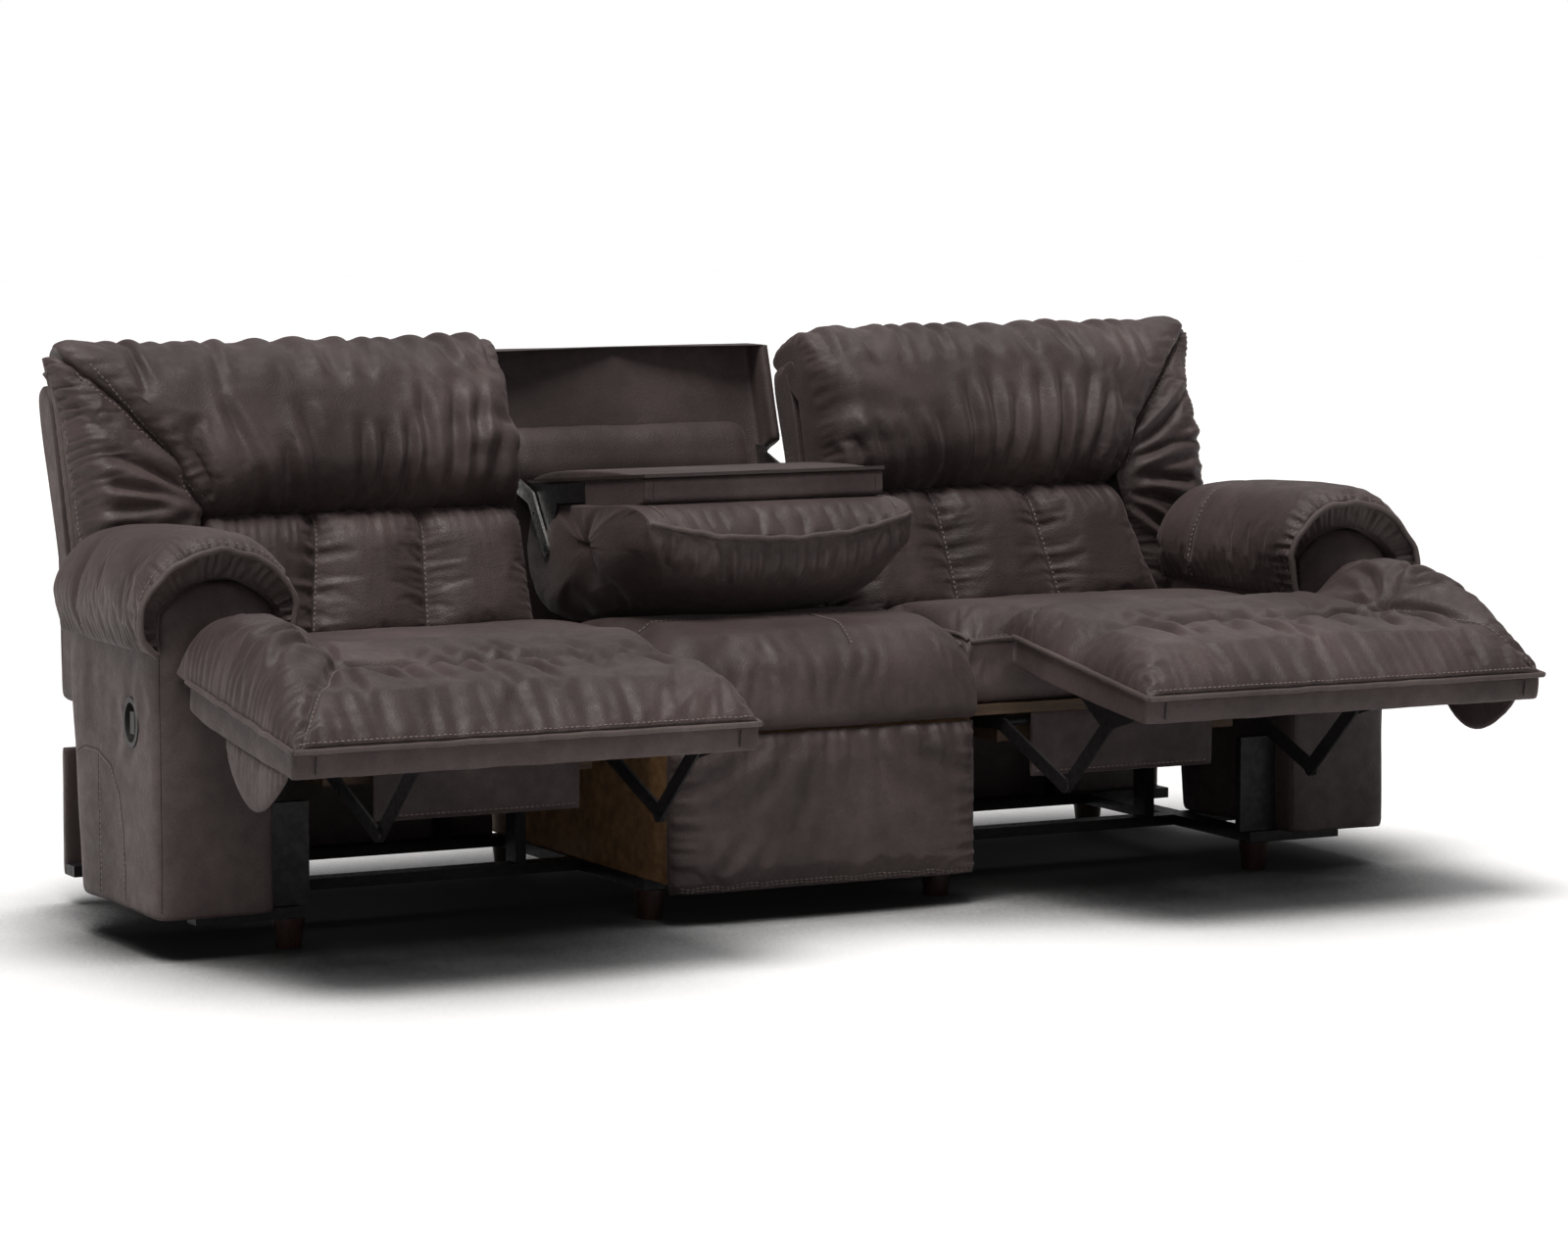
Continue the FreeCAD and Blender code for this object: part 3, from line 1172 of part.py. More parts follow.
def footrest_pad():
    """Chaise pad on the footrest board: a crowned main pad and a higher lobe before the arm."""
    base = float(d.board_drop + d.board_thick + d.soft_gap)
    rear, front = -float(d.board_behind + d.pad_behind), float(board_front)
    crown, lobe = float(d.pad_crown), float(d.lobe_crown)
    x0, x1 = float(board_inner), float(board_outer)
    seam = float(arm_inner)
    heel, roll = 10.0, 46.0
    stations = ((x0, 0.35, 16.0), (x0 + 8, 0.6, 8.0), (x0 + 30, 0.85, 2.0), (x0 + 90, 0.98, 0.0),
                ((x0 + seam) / 2, 1.0, 0.0), (seam - 90, 1.0, 0.0), (seam - 30, 0.95, 0.0),
                (seam - 8, 0.86, 2.0), (seam + 6, 1.1, 2.0), (seam + 34, lobe / crown * 0.94, 0.0),
                ((seam + x1) / 2, lobe / crown, 0.0), (x1 - 34, lobe / crown * 0.9, 2.0),
                (x1 - 8, lobe / crown * 0.62, 8.0), (x1, lobe / crown * 0.36, 16.0))
    wires = []
    for x, share, draw_in in stations:
        top = base + crown * share
        a, b = rear + draw_in, front - draw_in * 0.4
        high = top - base

        def seat(ahead, above, x=x):
            return FreeCAD.Vector(x, *(float(v) for v in on_board(ahead, above)))
        wires.append(wire(seat, [
            ((a + heel, base), None),
            ((b, base), (b - heel, base + high * 0.62)),
            ((b - roll, base + high * 0.9), ((a + b) / 2, top)),
            ((a + heel, base + high * 0.82), (a, base + high * 0.42))]))
    return loft(wires)


make_base()
make_console()
make_fold()
for name, side in SIDES:
    make_arm(name, side)
    make_handle(name, side)
    make_runners(name, side)
    make_seat(name, side)
    make_back(name, side)
    make_footrest(name, side)

doc.recompute()
faults = [item.Label for item in doc.Objects if "Invalid" in item.State or "Error" in item.State]
for name, item in NODES.items():
    shape = item.Shape
    if shape.isNull() or not shape.isValid() or not shape.Solids:
        faults.append(name)
if faults:
    raise SystemExit("not built: " + ", ".join(sorted(set(faults))))

os.makedirs("parts", exist_ok=True)
for name, item in NODES.items():
    item.Shape.exportStep("parts/%s.step" % name)
print("%d sub-parts" % len(NODES))
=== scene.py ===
import math
import random

import bpy
import numpy as np
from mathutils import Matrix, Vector, noise


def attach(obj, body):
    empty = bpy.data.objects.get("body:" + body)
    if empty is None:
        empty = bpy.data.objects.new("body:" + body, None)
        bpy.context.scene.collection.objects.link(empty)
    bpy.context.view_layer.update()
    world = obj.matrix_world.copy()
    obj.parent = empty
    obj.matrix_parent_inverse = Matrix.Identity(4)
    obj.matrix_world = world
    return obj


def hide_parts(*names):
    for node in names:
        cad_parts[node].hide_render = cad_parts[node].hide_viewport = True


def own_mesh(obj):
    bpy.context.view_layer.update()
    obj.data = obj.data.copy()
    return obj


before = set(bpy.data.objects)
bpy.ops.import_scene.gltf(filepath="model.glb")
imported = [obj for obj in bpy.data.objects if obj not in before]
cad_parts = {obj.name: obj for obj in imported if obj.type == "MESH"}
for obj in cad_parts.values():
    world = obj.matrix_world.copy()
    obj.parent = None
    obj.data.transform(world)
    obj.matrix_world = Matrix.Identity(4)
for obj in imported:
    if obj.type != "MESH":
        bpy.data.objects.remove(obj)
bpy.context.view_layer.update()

# Lengths below are millimetres, and Y counts from the arms' front plane, as the part's drawing has them.
MM = 0.001
ARM_FRONT = -148.4
SIDES = (("left", -1), ("right", 1))
BACK_PIVOT = (480.0, 335.0)
BACK_LEAN = math.radians(18)
TOE = (-335.0, 335.0)
BOARD_TILT = math.radians(8)
TABLE_REAR = (646.0, 700.0)
TABLE_TILT = math.radians(4.8)
SHELL_LEAN = math.tan(math.radians(17))


def on_back(x, across, along):
    return (x, BACK_PIVOT[0] + along * math.sin(BACK_LEAN) + across * math.cos(BACK_LEAN),
            BACK_PIVOT[1] + along * math.cos(BACK_LEAN) - across * math.sin(BACK_LEAN))


def on_board(x, ahead, above):
    return (x, TOE[0] - ahead * math.cos(BOARD_TILT) - above * math.sin(BOARD_TILT),
            TOE[1] - ahead * math.sin(BOARD_TILT) + above * math.cos(BOARD_TILT))


def on_table(x, along, under):
    return (x, TABLE_REAR[0] - along * math.cos(TABLE_TILT) - under * math.sin(TABLE_TILT),
            TABLE_REAR[1] + along * math.sin(TABLE_TILT) - under * math.cos(TABLE_TILT))


# Materials.
def new_material(name):
    mat = bpy.data.materials.new(name)
    mat.use_nodes = True
    nodes = mat.node_tree.nodes
    return mat, nodes, mat.node_tree.links, nodes["Principled BSDF"]


def noise_node(nodes, links, coords, scale, detail=3.0, rough=0.55):
    node = nodes.new("ShaderNodeTexNoise")
    node.inputs["Scale"].default_value = scale
    node.inputs["Detail"].default_value = detail
    node.inputs["Roughness"].default_value = rough
    links.new(coords, node.inputs["Vector"])
    return node.outputs["Fac"]


def ramp_node(nodes, links, fac, stops):
    node = nodes.new("ShaderNodeValToRGB")
    ramp = node.color_ramp
    while len(ramp.elements) < len(stops):
        ramp.elements.new(0.5)
    for element, (place, color) in zip(ramp.elements, stops):
        element.position = place
        element.color = (*color, 1.0)
    links.new(fac, node.inputs["Fac"])
    return node.outputs["Color"]


def mix_node(nodes, links, kind, fac, a, b):
    node = nodes.new("ShaderNodeMix")
    node.data_type = "RGBA"
    node.blend_type = kind
    if isinstance(fac, float):
        node.inputs["Factor"].default_value = fac
    else:
        links.new(fac, node.inputs["Factor"])
    links.new(a, node.inputs["A"])
    links.new(b, node.inputs["B"])
    return node.outputs["Result"]


def bump_node(nodes, links, height, distance, strength, normal=None):
    node = nodes.new("ShaderNodeBump")
    node.inputs["Distance"].default_value = distance
    node.inputs["Strength"].default_value = strength
    links.new(height, node.inputs["Height"])
    if normal is not None:
        links.new(normal, node.inputs["Normal"])
    return node.outputs["Normal"]


def suede(name, dark, mid, light, rough=0.60):
    """Napped faux suede: faint clouds where the nap lies over, rubbed patches and a fine pebbled grain."""
    mat, nodes, links, shader = new_material(name)
    coords = nodes.new("ShaderNodeTexCoord").outputs["Object"]
    clouds = noise_node(nodes, links, coords, 5.0, 3.0, 0.5)
    base = ramp_node(nodes, links, clouds, ((0.34, dark), (0.52, mid), (0.70, light)))
    rubbed = noise_node(nodes, links, coords, 38.0, 6.0, 0.66)
    patches = ramp_node(nodes, links, rubbed, ((0.34, (0.80, 0.79, 0.79)), (0.66, (1.16, 1.15, 1.14))))
    worn = mix_node(nodes, links, "MULTIPLY", 0.6, base, patches)
    grain = noise_node(nodes, links, coords, 560.0, 2.0, 0.5)
    flecks = ramp_node(nodes, links, grain, ((0.36, (0.70, 0.69, 0.68)), (0.64, (1.26, 1.24, 1.23))))
    links.new(mix_node(nodes, links, "MULTIPLY", 0.6, worn, flecks), shader.inputs["Base Color"])
    rough_ramp = ramp_node(nodes, links, rubbed, ((0.3, (rough + 0.1,) * 3), (0.7, (rough - 0.1,) * 3)))
    links.new(rough_ramp, shader.inputs["Roughness"])
    pebble = nodes.new("ShaderNodeTexVoronoi")
    pebble.inputs["Scale"].default_value = 300.0
    links.new(coords, pebble.inputs["Vector"])
    fine = bump_node(nodes, links, pebble.outputs["Distance"], 0.0008, 0.55)
    links.new(bump_node(nodes, links, grain, 0.0005, 0.5, fine), shader.inputs["Normal"])
    shader.inputs["Sheen Weight"].default_value = 0.16
    shader.inputs["Sheen Roughness"].default_value = 0.45
    shader.inputs["Sheen Tint"].default_value = (0.64, 0.53, 0.52, 1.0)
    shader.inputs["Specular IOR Level"].default_value = 0.42
    return mat


def metal(name, color, rough, metallic, scale=90.0, scratch=0.12, specular=0.5):
    mat, nodes, links, shader = new_material(name)
    coords = nodes.new("ShaderNodeTexCoord").outputs["Object"]
    marks = noise_node(nodes, links, coords, scale, 5.0, 0.6)
    dark = tuple(c * 0.7 for c in color)
    light = tuple(min(c * 1.25, 1.0) for c in color)
    links.new(ramp_node(nodes, links, marks, ((0.35, dark), (0.65, light))), shader.inputs["Base Color"])
    spread = ramp_node(nodes, links, marks, ((0.3, (rough + scratch,) * 3), (0.7, (rough - scratch,) * 3)))
    links.new(spread, shader.inputs["Roughness"])
    links.new(bump_node(nodes, links, marks, 0.0003, 0.25), shader.inputs["Normal"])
    shader.inputs["Metallic"].default_value = metallic
    shader.inputs["Specular IOR Level"].default_value = specular
    return mat


def wood(name, dark, light, scale, rough, stretch=(1.0, 9.0, 9.0)):
    mat, nodes, links, shader = new_material(name)
    coords = nodes.new("ShaderNodeTexCoord").outputs["Object"]
    mapping = nodes.new("ShaderNodeMapping")
    mapping.inputs["Scale"].default_value = stretch
    links.new(coords, mapping.inputs["Vector"])
    grain = noise_node(nodes, links, mapping.outputs["Vector"], scale, 6.0, 0.65)
    fine = noise_node(nodes, links, mapping.outputs["Vector"], scale * 9, 3.0, 0.6)
    base = ramp_node(nodes, links, grain, ((0.34, dark), (0.66, light)))
    lines = ramp_node(nodes, links, fine, ((0.38, (0.66, 0.62, 0.58)), (0.6, (1.1, 1.08, 1.06))))
    links.new(mix_node(nodes, links, "MULTIPLY", 0.7, base, lines), shader.inputs["Base Color"])
    links.new(bump_node(nodes, links, fine, 0.0003, 0.3), shader.inputs["Normal"])
    shader.inputs["Roughness"].default_value = rough
    return mat


def webbing(name, color):
    mat, nodes, links, shader = new_material(name)
    coords = nodes.new("ShaderNodeTexCoord").outputs["Object"]
    wave = nodes.new("ShaderNodeTexWave")
    wave.inputs["Scale"].default_value = 240.0
    wave.inputs["Distortion"].default_value = 0.6
    links.new(coords, wave.inputs["Vector"])
    light = tuple(c * 2.0 for c in color)
    links.new(ramp_node(nodes, links, wave.outputs["Fac"], ((0.3, color), (0.7, light))),
              shader.inputs["Base Color"])
    links.new(bump_node(nodes, links, wave.outputs["Fac"], 0.0005, 0.6), shader.inputs["Normal"])
    shader.inputs["Roughness"].default_value = 0.9
    return mat


SUEDE = suede("faux_suede", (0.034, 0.0222, 0.0212), (0.049, 0.0335, 0.0325), (0.074, 0.0530, 0.0505))
WELT = suede("faux_suede_welt", (0.056, 0.042, 0.040), (0.073, 0.056, 0.053), (0.098, 0.077, 0.072), 0.66)
THREAD = webbing("topstitch_thread", (0.13, 0.105, 0.095))
# Painted shade: the near-black seam lines stand for the shade in a seam's groove.
SEAM = suede("seam_shadow", (0.008, 0.006, 0.006), (0.012, 0.009, 0.008), (0.018, 0.013, 0.012), 0.85)
STEEL = metal("black_enamelled_steel", (0.013, 0.012, 0.013), 0.38, 0.0, specular=0.2)
ZINC = metal("zinc_plated_steel", (0.30, 0.30, 0.29), 0.34, 1.0)
PLASTIC = metal("moulded_black_plastic", (0.020, 0.017, 0.016), 0.46, 0.0, 400.0, 0.06)
# The plywood's colour is its own grain darkened with painted shade, as it sits in the footrests' shadow.
PLY = wood("plywood_side", (0.13, 0.062, 0.022), (0.26, 0.14, 0.055), 5.0, 0.66)
# The frame timber's colour is its wood grain darkened with painted shade, as it sits under the seats.
TIMBER = wood("frame_timber", (0.045, 0.024, 0.012), (0.085, 0.048, 0.024), 6.0, 0.7)
FOOT = wood("dark_stained_foot", (0.018, 0.009, 0.007), (0.048, 0.022, 0.018), 20.0, 0.32, (9.0, 9.0, 1.0))
STRAP = webbing("elastic_webbing", (0.03, 0.03, 0.032))
TRAY = wood("moulded_tray", (0.030, 0.021, 0.020), (0.052, 0.038, 0.036), 14.0, 0.46)

CAD_MATERIALS = {
    "base_frame": STEEL, "turned_feet": FOOT, "console_side_frames": PLY, "console_seat_deck": PLY,
    "console_hinge_bars": ZINC, "folding_hinge_plates": STEEL, "table_tray": TRAY, "cup_holders": PLASTIC,
    "handle_bezel": PLASTIC, "release_lever": PLASTIC, "arm_frame": TIMBER, "seat_frame": TIMBER,
    "back_frame": TIMBER, "seat_straps": STRAP, "seat_plates": STEEL, "seat_runners": STEEL,
    "back_brackets": STEEL, "rear_links": STEEL, "front_links": STEEL, "footrest_brackets": STEEL,
}
for node_name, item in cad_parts.items():
    key = node_name.replace("left_", "").replace("right_", "")
    if key in CAD_MATERIALS:
        item.data.materials.clear()
        item.data.materials.append(CAD_MATERIALS[key])


# Mesh helpers.
def mesh_object(name, points, faces, material, smooth=True):
    """A mesh in millimetres from the drawing, placed in the model's frame in metres."""
    places = np.asarray(points, dtype=float) + np.array([0.0, ARM_FRONT, 0.0])
    mesh = bpy.data.meshes.new(name)
    mesh.from_pydata((places * MM).tolist(), [], faces)
    mesh.validate()
    mesh.update()
    item = bpy.data.objects.new(name, mesh)
    bpy.context.scene.collection.objects.link(item)
    mesh.materials.append(material)
    if smooth:
        mesh.shade_smooth()
    return item


def curve_loop(corners, counts):
    """A closed smooth loop through control points, with a set number of samples in each stretch."""
    points = np.asarray(corners, dtype=float)
    total = len(points)
    samples = []
    for i in range(total):
        p0, p1, p2, p3 = (points[(i + k) % total] for k in (-1, 0, 1, 2))
        gap = [max(np.linalg.norm(b - a), 1e-6) ** 0.5 for a, b in ((p0, p1), (p1, p2), (p2, p3))]
        m1 = (p1 - p0) / gap[0] - (p2 - p0) / (gap[0] + gap[1]) + (p2 - p1) / gap[1]
        m2 = (p2 - p1) / gap[1] - (p3 - p1) / (gap[1] + gap[2]) + (p3 - p2) / gap[2]
        m1, m2 = m1 * gap[1], m2 * gap[1]
        for k in range(counts[i]):
            t = k / counts[i]
            samples.append((2 * t ** 3 - 3 * t ** 2 + 1) * p1 + (t ** 3 - 2 * t ** 2 + t) * m1
                           + (3 * t ** 2 - 2 * t ** 3) * p2 + (t ** 3 - t ** 2) * m2)
    return np.array(samples)


CAP = (0.93, 0.8, 0.6, 0.36, 0.14)


def lofted(name, loops, side=1, cap_puff=0.0):
    """Skins loops of equal length; each end is closed with rings that shrink to its middle.
    Gives the piece and the indices of the loops' points, one row for each loop."""
    loops = [np.asarray(loop, dtype=float) for loop in loops]
    rows, count = len(loops), len(loops[0])
    for first, at, inner in ((True, 0, 1), (False, -1, -2)):
        edge = loops[at]
        middle = edge.mean(axis=0)
        outward = middle - loops[inner].mean(axis=0)
        outward = outward / max(np.linalg.norm(outward), 1e-6)
        rings = [middle + (edge - middle) * share + outward * cap_puff * (1 - share ** 2) for share in CAP]
        loops = rings[::-1] + loops if first else loops + rings
    points = np.concatenate(loops)
    faces = []
    for i in range(len(loops) - 1):
        for j in range(count):
            k = (j + 1) % count
            faces.append((i * count + j, i * count + k, (i + 1) * count + k, (i + 1) * count + j))
    last = (len(loops) - 1) * count
    for flip, rim in ((True, list(range(count))), (False, list(range(last, last + count)))):
        centre = len(points)
        points = np.vstack([points, points[rim].mean(axis=0)])
        for j in range(count):
            a, b = rim[j], rim[(j + 1) % count]
            faces.append((b, a, centre) if flip else (a, b, centre))
    points = points * np.array([side, 1.0, 1.0])
    if signed_volume(points, faces) < 0:
        faces = [tuple(reversed(face)) for face in faces]
    index = np.arange(rows * count).reshape(rows, count) + len(CAP) * count
    return mesh_object(name, points, faces, SUEDE), index


def signed_volume(points, faces):
    middle = points.mean(axis=0)
    corners = np.array([face[:3] for face in faces])
    others = np.array([(face[0], face[2], face[-1]) for face in faces])
    total = 0.0
    for chosen in (corners, others):
        a, b, c = (points[chosen[:, k]] - middle for k in range(3))
        total += np.einsum("ij,ij->i", a, np.cross(b, c)).sum()
    return total


def get_points(item):
    flat_list = np.empty(len(item.data.vertices) * 3)
    item.data.vertices.foreach_get("co", flat_list)
    return flat_list.reshape(-1, 3) / MM - np.array([0.0, ARM_FRONT, 0.0])


def set_points(item, points):
    places = (points + np.array([0.0, ARM_FRONT, 0.0])) * MM
    item.data.vertices.foreach_set("co", places.ravel())
    item.data.update()


def get_normals(item):
    values = np.empty(len(item.data.vertices) * 3)
    item.data.vertices.foreach_get("normal", values)
    return values.reshape(-1, 3)


def smoothstep(low, high, values):
    t = np.clip((np.asarray(values, dtype=float) - low) / (high - low), 0.0, 1.0)
    return t * t * (3 - 2 * t)


def waves(values, pitch, seed, jitter=0.35):
    """Uneven ridges along a seam: a sum of close wavelengths with random phases, from -1 to 1."""
    rng = random.Random(seed)
    values = np.asarray(values, dtype=float)
    total = np.zeros_like(values)
    weight = 0.0
    for k in range(5):
        share = rng.uniform(0.5, 1.0)
        length = pitch * (1 + jitter * rng.uniform(-1, 1) * (1 + k * 0.3))
        total += share * np.sin(values * (2 * math.pi / length) + rng.uniform(0, 6.28))
        weight += share
    shaped = total / weight * 1.7
    return np.clip(shaped, -1.0, 1.0)


def rumple(item, amount, size, seed):
    """Slow uneven swell over the whole surface, along its normals."""
    points, normals = get_points(item), get_normals(item)
    shift = Vector((seed * 13.7, seed * 7.1, seed * 3.3))
    swell = np.array([noise.noise(Vector(p) / size + shift) for p in points])
    set_points(item, points + normals * (swell * amount)[:, None])


def subdivide(item, levels=1):
    modifier = item.modifiers.new("smooth", "SUBSURF")
    modifier.levels = levels
    modifier.render_levels = levels
    apply_modifiers(item)


def apply_modifiers(item):
    graph = bpy.context.evaluated_depsgraph_get()
    mesh = bpy.data.meshes.new_from_object(item.evaluated_get(graph))
    old = item.data
    item.modifiers.clear()
    item.data = mesh
    mesh.name = item.name
    mesh.shade_smooth()
    bpy.data.meshes.remove(old)


def along_line(item, points, step=4.0):
    """The points brought onto the surface of a piece, evenly spaced, with its normals."""
    path = np.asarray(points, dtype=float)
    runs = np.linalg.norm(np.diff(path, axis=0), axis=1)
    places = np.concatenate([[0.0], np.cumsum(runs)])
    count = max(int(places[-1] / step), 2)
    even = [np.array([np.interp(t, places, path[:, k]) for k in range(3)])
            for t in np.linspace(0.0, places[-1], count + 1)]
    out, normals = [], []
    for p in even:
        local = Vector(((p + np.array([0.0, ARM_FRONT, 0.0])) * MM).tolist())
        _, place, normal, _ = item.closest_point_on_mesh(local)
        out.append(np.array(place) / MM - np.array([0.0, ARM_FRONT, 0.0]))
        normals.append(np.array(normal))
    return np.array(out), np.array(normals)


def mirror(path, side):
    """A path of the right side, or its image on the left."""
    return np.asarray(path, dtype=float) * np.array([side, 1.0, 1.0])


def smooth_path(points, rounds=2):
    path = np.array(points, dtype=float)
    for _ in range(rounds):
        path[1:-1] = (path[:-2] + path[1:-1] * 2 + path[2:]) / 4
    return path


class Bundle:
    """Gathers tubes and stitches of one body and one material into one piece."""

    def __init__(self):
        self.points, self.faces = [], []

    def tube(self, path, radius, sides):
        path = np.asarray(path, dtype=float)
        count = len(path)
        start = len(self.points)
        tangent = np.gradient(path, axis=0)
        tangent /= np.maximum(np.linalg.norm(tangent, axis=1), 1e-9)[:, None]
        up = np.array([0.0, 0.0, 1.0]) if abs(tangent[0][2]) < 0.8 else np.array([0.0, 1.0, 0.0])
        for i in range(count):
            up = up - tangent[i] * np.dot(up, tangent[i])
            up /= max(np.linalg.norm(up), 1e-9)
            other = np.cross(tangent[i], up)
            for k in range(sides):
                turn = 2 * math.pi * k / sides
                self.points.append(path[i] + (up * math.cos(turn) + other * math.sin(turn)) * radius)
        for i in range(count - 1):
            for k in range(sides):
                m, a, b = (k + 1) % sides, start + i * sides, start + (i + 1) * sides
                self.faces.append((a + k, a + m, b + m, b + k))
        self.faces.append(tuple(start + k for k in reversed(range(sides))))
        self.faces.append(tuple(start + (count - 1) * sides + k for k in range(sides)))

    def stitches(self, path, normals, length=6.0, gap=3.4, radius=1.1):
        """Short rounded threads along a path, each sunk at its ends."""
        runs = np.linalg.norm(np.diff(path, axis=0), axis=1)
        places = np.concatenate([[0.0], np.cumsum(runs)])
        at = gap
        while at + length < places[-1]:
            ts = (at, at + length * 0.5, at + length)
            spots = [np.array([np.interp(t, places, path[:, k]) for k in range(3)]) for t in ts]
            lift = [np.array([np.interp(t, places, normals[:, k]) for k in range(3)]) for t in ts]
            spots = [spot + n * h for spot, n, h in zip(spots, lift, (-0.3, 0.55, -0.3))]
            self.tube(spots, radius, 5)
            at += length + gap

    def make(self, name, material):
        return mesh_object(name, self.points, self.faces, material)


def finish_soft(piece, body, node):
    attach(piece, body)
    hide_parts(node)


# Cloth: one run for all waiting pieces, so that the frames are stepped once.
waiting = []


def puff(item, pinned, pressure=4.0, shrink=-0.03, cap=14.0, bending=0.8):
    """Queues a piece for the cloth run. pinned is a weight per vertex: 1 holds a vertex still."""
    group = item.vertex_groups.new(name="held")
    for value in np.unique(np.round(pinned, 2)):
        if value > 0:
            chosen = np.nonzero(np.abs(np.round(pinned, 2) - value) < 1e-6)[0].tolist()
            group.add(chosen, float(value), "REPLACE")
    modifier = item.modifiers.new("cloth", "CLOTH")
    settings = modifier.settings
    settings.quality = 5
    settings.mass = 0.35
    settings.tension_stiffness = 18
    settings.compression_stiffness = 18
    settings.shear_stiffness = 8
    settings.bending_stiffness = bending
    settings.air_damping = 2.0
    settings.vertex_group_mass = "held"
    settings.use_pressure = True
    settings.uniform_pressure_force = pressure
    settings.shrink_min = shrink
    settings.shrink_max = shrink
    settings.effector_weights.gravity = 0.0
    modifier.collision_settings.use_collision = False
    modifier.collision_settings.use_self_collision = False
    waiting.append((item, get_points(item), cap))


CLOTH_FRAMES = 20


def run_cloth():
    scene = bpy.context.scene
    results = {}
    for number in range(1, CLOTH_FRAMES + 1):
        scene.frame_set(number)
    graph = bpy.context.evaluated_depsgraph_get()
    for item, start, cap in waiting:
        values = np.empty(len(item.data.vertices) * 3)
        item.evaluated_get(graph).data.vertices.foreach_get("co", values)
        moved = values.reshape(-1, 3) / MM - np.array([0.0, ARM_FRONT, 0.0]) - start
        reach = np.linalg.norm(moved, axis=1)
        share = np.minimum(1.0, cap / np.maximum(reach, 1e-6))
        results[item.name] = start + moved * share[:, None]
    scene.frame_set(1)
    for item, _, _ in waiting:
        item.modifiers.clear()
        item.vertex_groups.clear()
        if item.name in results:
            set_points(item, results[item.name])
    waiting.clear()


# Shaping helpers for the grids of points that the soft pieces are lofted from.
def edge_round(distance, radius, power=2.0):
    """Rises from 0 at an edge to 1 a radius away, steep at first as a stuffed edge is."""
    t = min(max(distance / radius, 0.0), 1.0)
    return (1.0 - (1.0 - t) ** power) ** (1.0 / power)


def ease(low, high, value):
    """A soft step from 0 to 1 for a single number."""
    t = min(max((value - low) / (high - low), 0.0), 1.0)
    return t * t * (3 - 2 * t)


def spread(low, high, count, ends=0.55):
    """Places from low to high, closer together near both ends."""
    t = np.linspace(0.0, 1.0, count)
    return low + (high - low) * ((1 - ends) * t + ends * (1 - np.cos(math.pi * t)) / 2)


def seam_distance(grid, axis, at):
    """How far each point of a grid lies from the row or column at a seam."""
    line = grid[at][None, :] if axis == 0 else grid[:, at][:, None]
    return np.linalg.norm(grid - line, axis=2)


def run_along(grid, axis, at):
    """The length along a row or column of a grid, from its start, for each of its points."""
    line = grid[at] if axis == 0 else grid[:, at]
    return np.concatenate([[0.0], np.cumsum(np.linalg.norm(np.diff(line, axis=0), axis=1))])


def gathers(grid, axis, at, pitch, depth, reach, seed, keep=None):
    """Ridges that start at a seam and die away from it, for fabric that is gathered into it."""
    away = seam_distance(grid, axis, at)
    along = run_along(grid, axis, at)
    along = along[None, :] if axis == 0 else along[:, None]
    drift = away * 0.12 * np.sin(along / (pitch * 3.1) + seed)
    ridges = waves(along + drift, pitch, seed) + 0.5 * waves(along - drift, pitch * 0.55, seed + 1)
    length = reach * (0.75 + 0.5 * waves(along, pitch * 2.3, seed + 2) ** 2)
    fade = np.exp(-(away / length) ** 1.3) * smoothstep(0.0, pitch * 0.5, away + 2.0)
    field = ridges * fade * depth
    return field if keep is None else field * keep


def crease(points, path, width, depth, side=1):
    """A sewn-in fold: a groove along a path of points, with a soft ridge on both its sides."""
    path = mirror(path, side)
    best = np.full(len(points), 1e9)
    share = np.zeros(len(points))
    total = len(path) - 1
    for k in range(total):
        a, b = path[k], path[k + 1]
        run = b - a
        t = np.clip(((points - a) @ run) / max(run @ run, 1e-9), 0.0, 1.0)
        away = np.linalg.norm(points - (a + t[:, None] * run), axis=1)
        closer = away < best
        best = np.where(closer, away, best)
        share = np.where(closer, (k + t) / total, share)
    taper = np.sin(np.clip(share, 0.02, 0.98) * math.pi) ** 0.6
    groove = -np.exp(-(best / width) ** 2)
    ridge = 0.55 * np.exp(-((best - width * 1.9) / width) ** 2)
    return (groove + ridge) * depth * taper


def push(item, index, field):
    """Moves the points of a grid along the piece's normals by a field of the grid's shape."""
    points, normals = get_points(item), get_normals(item)
    points[index.ravel()] += normals[index.ravel()] * field.ravel()[:, None]
    set_points(item, points)


def push_all(item, field):
    set_points(item, get_points(item) + get_normals(item) * field[:, None])


def grid_of(item, index):
    return get_points(item)[index]


def upright(loop, x):
    """A loop of Y and Z pairs, set in the upright plane at an x."""
    return np.column_stack([np.full(len(loop), x), loop])


def level(loop, z):
    """A loop of X and Y pairs, set in the level plane at a z."""
    return np.column_stack([loop, np.full(len(loop), z)])


# Pads that lie on a flat or curved base: a height over a rectangle of the two coordinates.
UNDER = 9


def pad_loops(us, vs, place, height):
    """Loops along u. Each goes over the top from the first v to the last, and back underneath."""
    loops = []
    for u in us:
        top = [place(u, v, height(u, v)) for v in vs]
        low = [place(u, v, 0.0) for v in np.linspace(vs[-1], vs[0], UNDER + 2)[1:-1]]
        loops.append(np.array(top + low))
    return loops


def pad(name, us, vs, place, height, side=1):
    """Gives the piece and the indices of the points of its top, one row for each u."""
    item, index = lofted(name, pad_loops(us, vs, place, height), side)
    return item, index[:, :len(vs)]


def hold_rim(item, index):
    """Weights that hold everything but the inside of a pad's top."""
    weights = np.ones(len(item.data.vertices))
    inside = index[1:-1, 1:-1].ravel()
    weights[inside] = 0.0
    near = np.concatenate([index[1, 1:-1], index[-2, 1:-1], index[1:-1, 1], index[1:-1, -2]])
    weights[near] = 0.45
    return weights


trims = {}


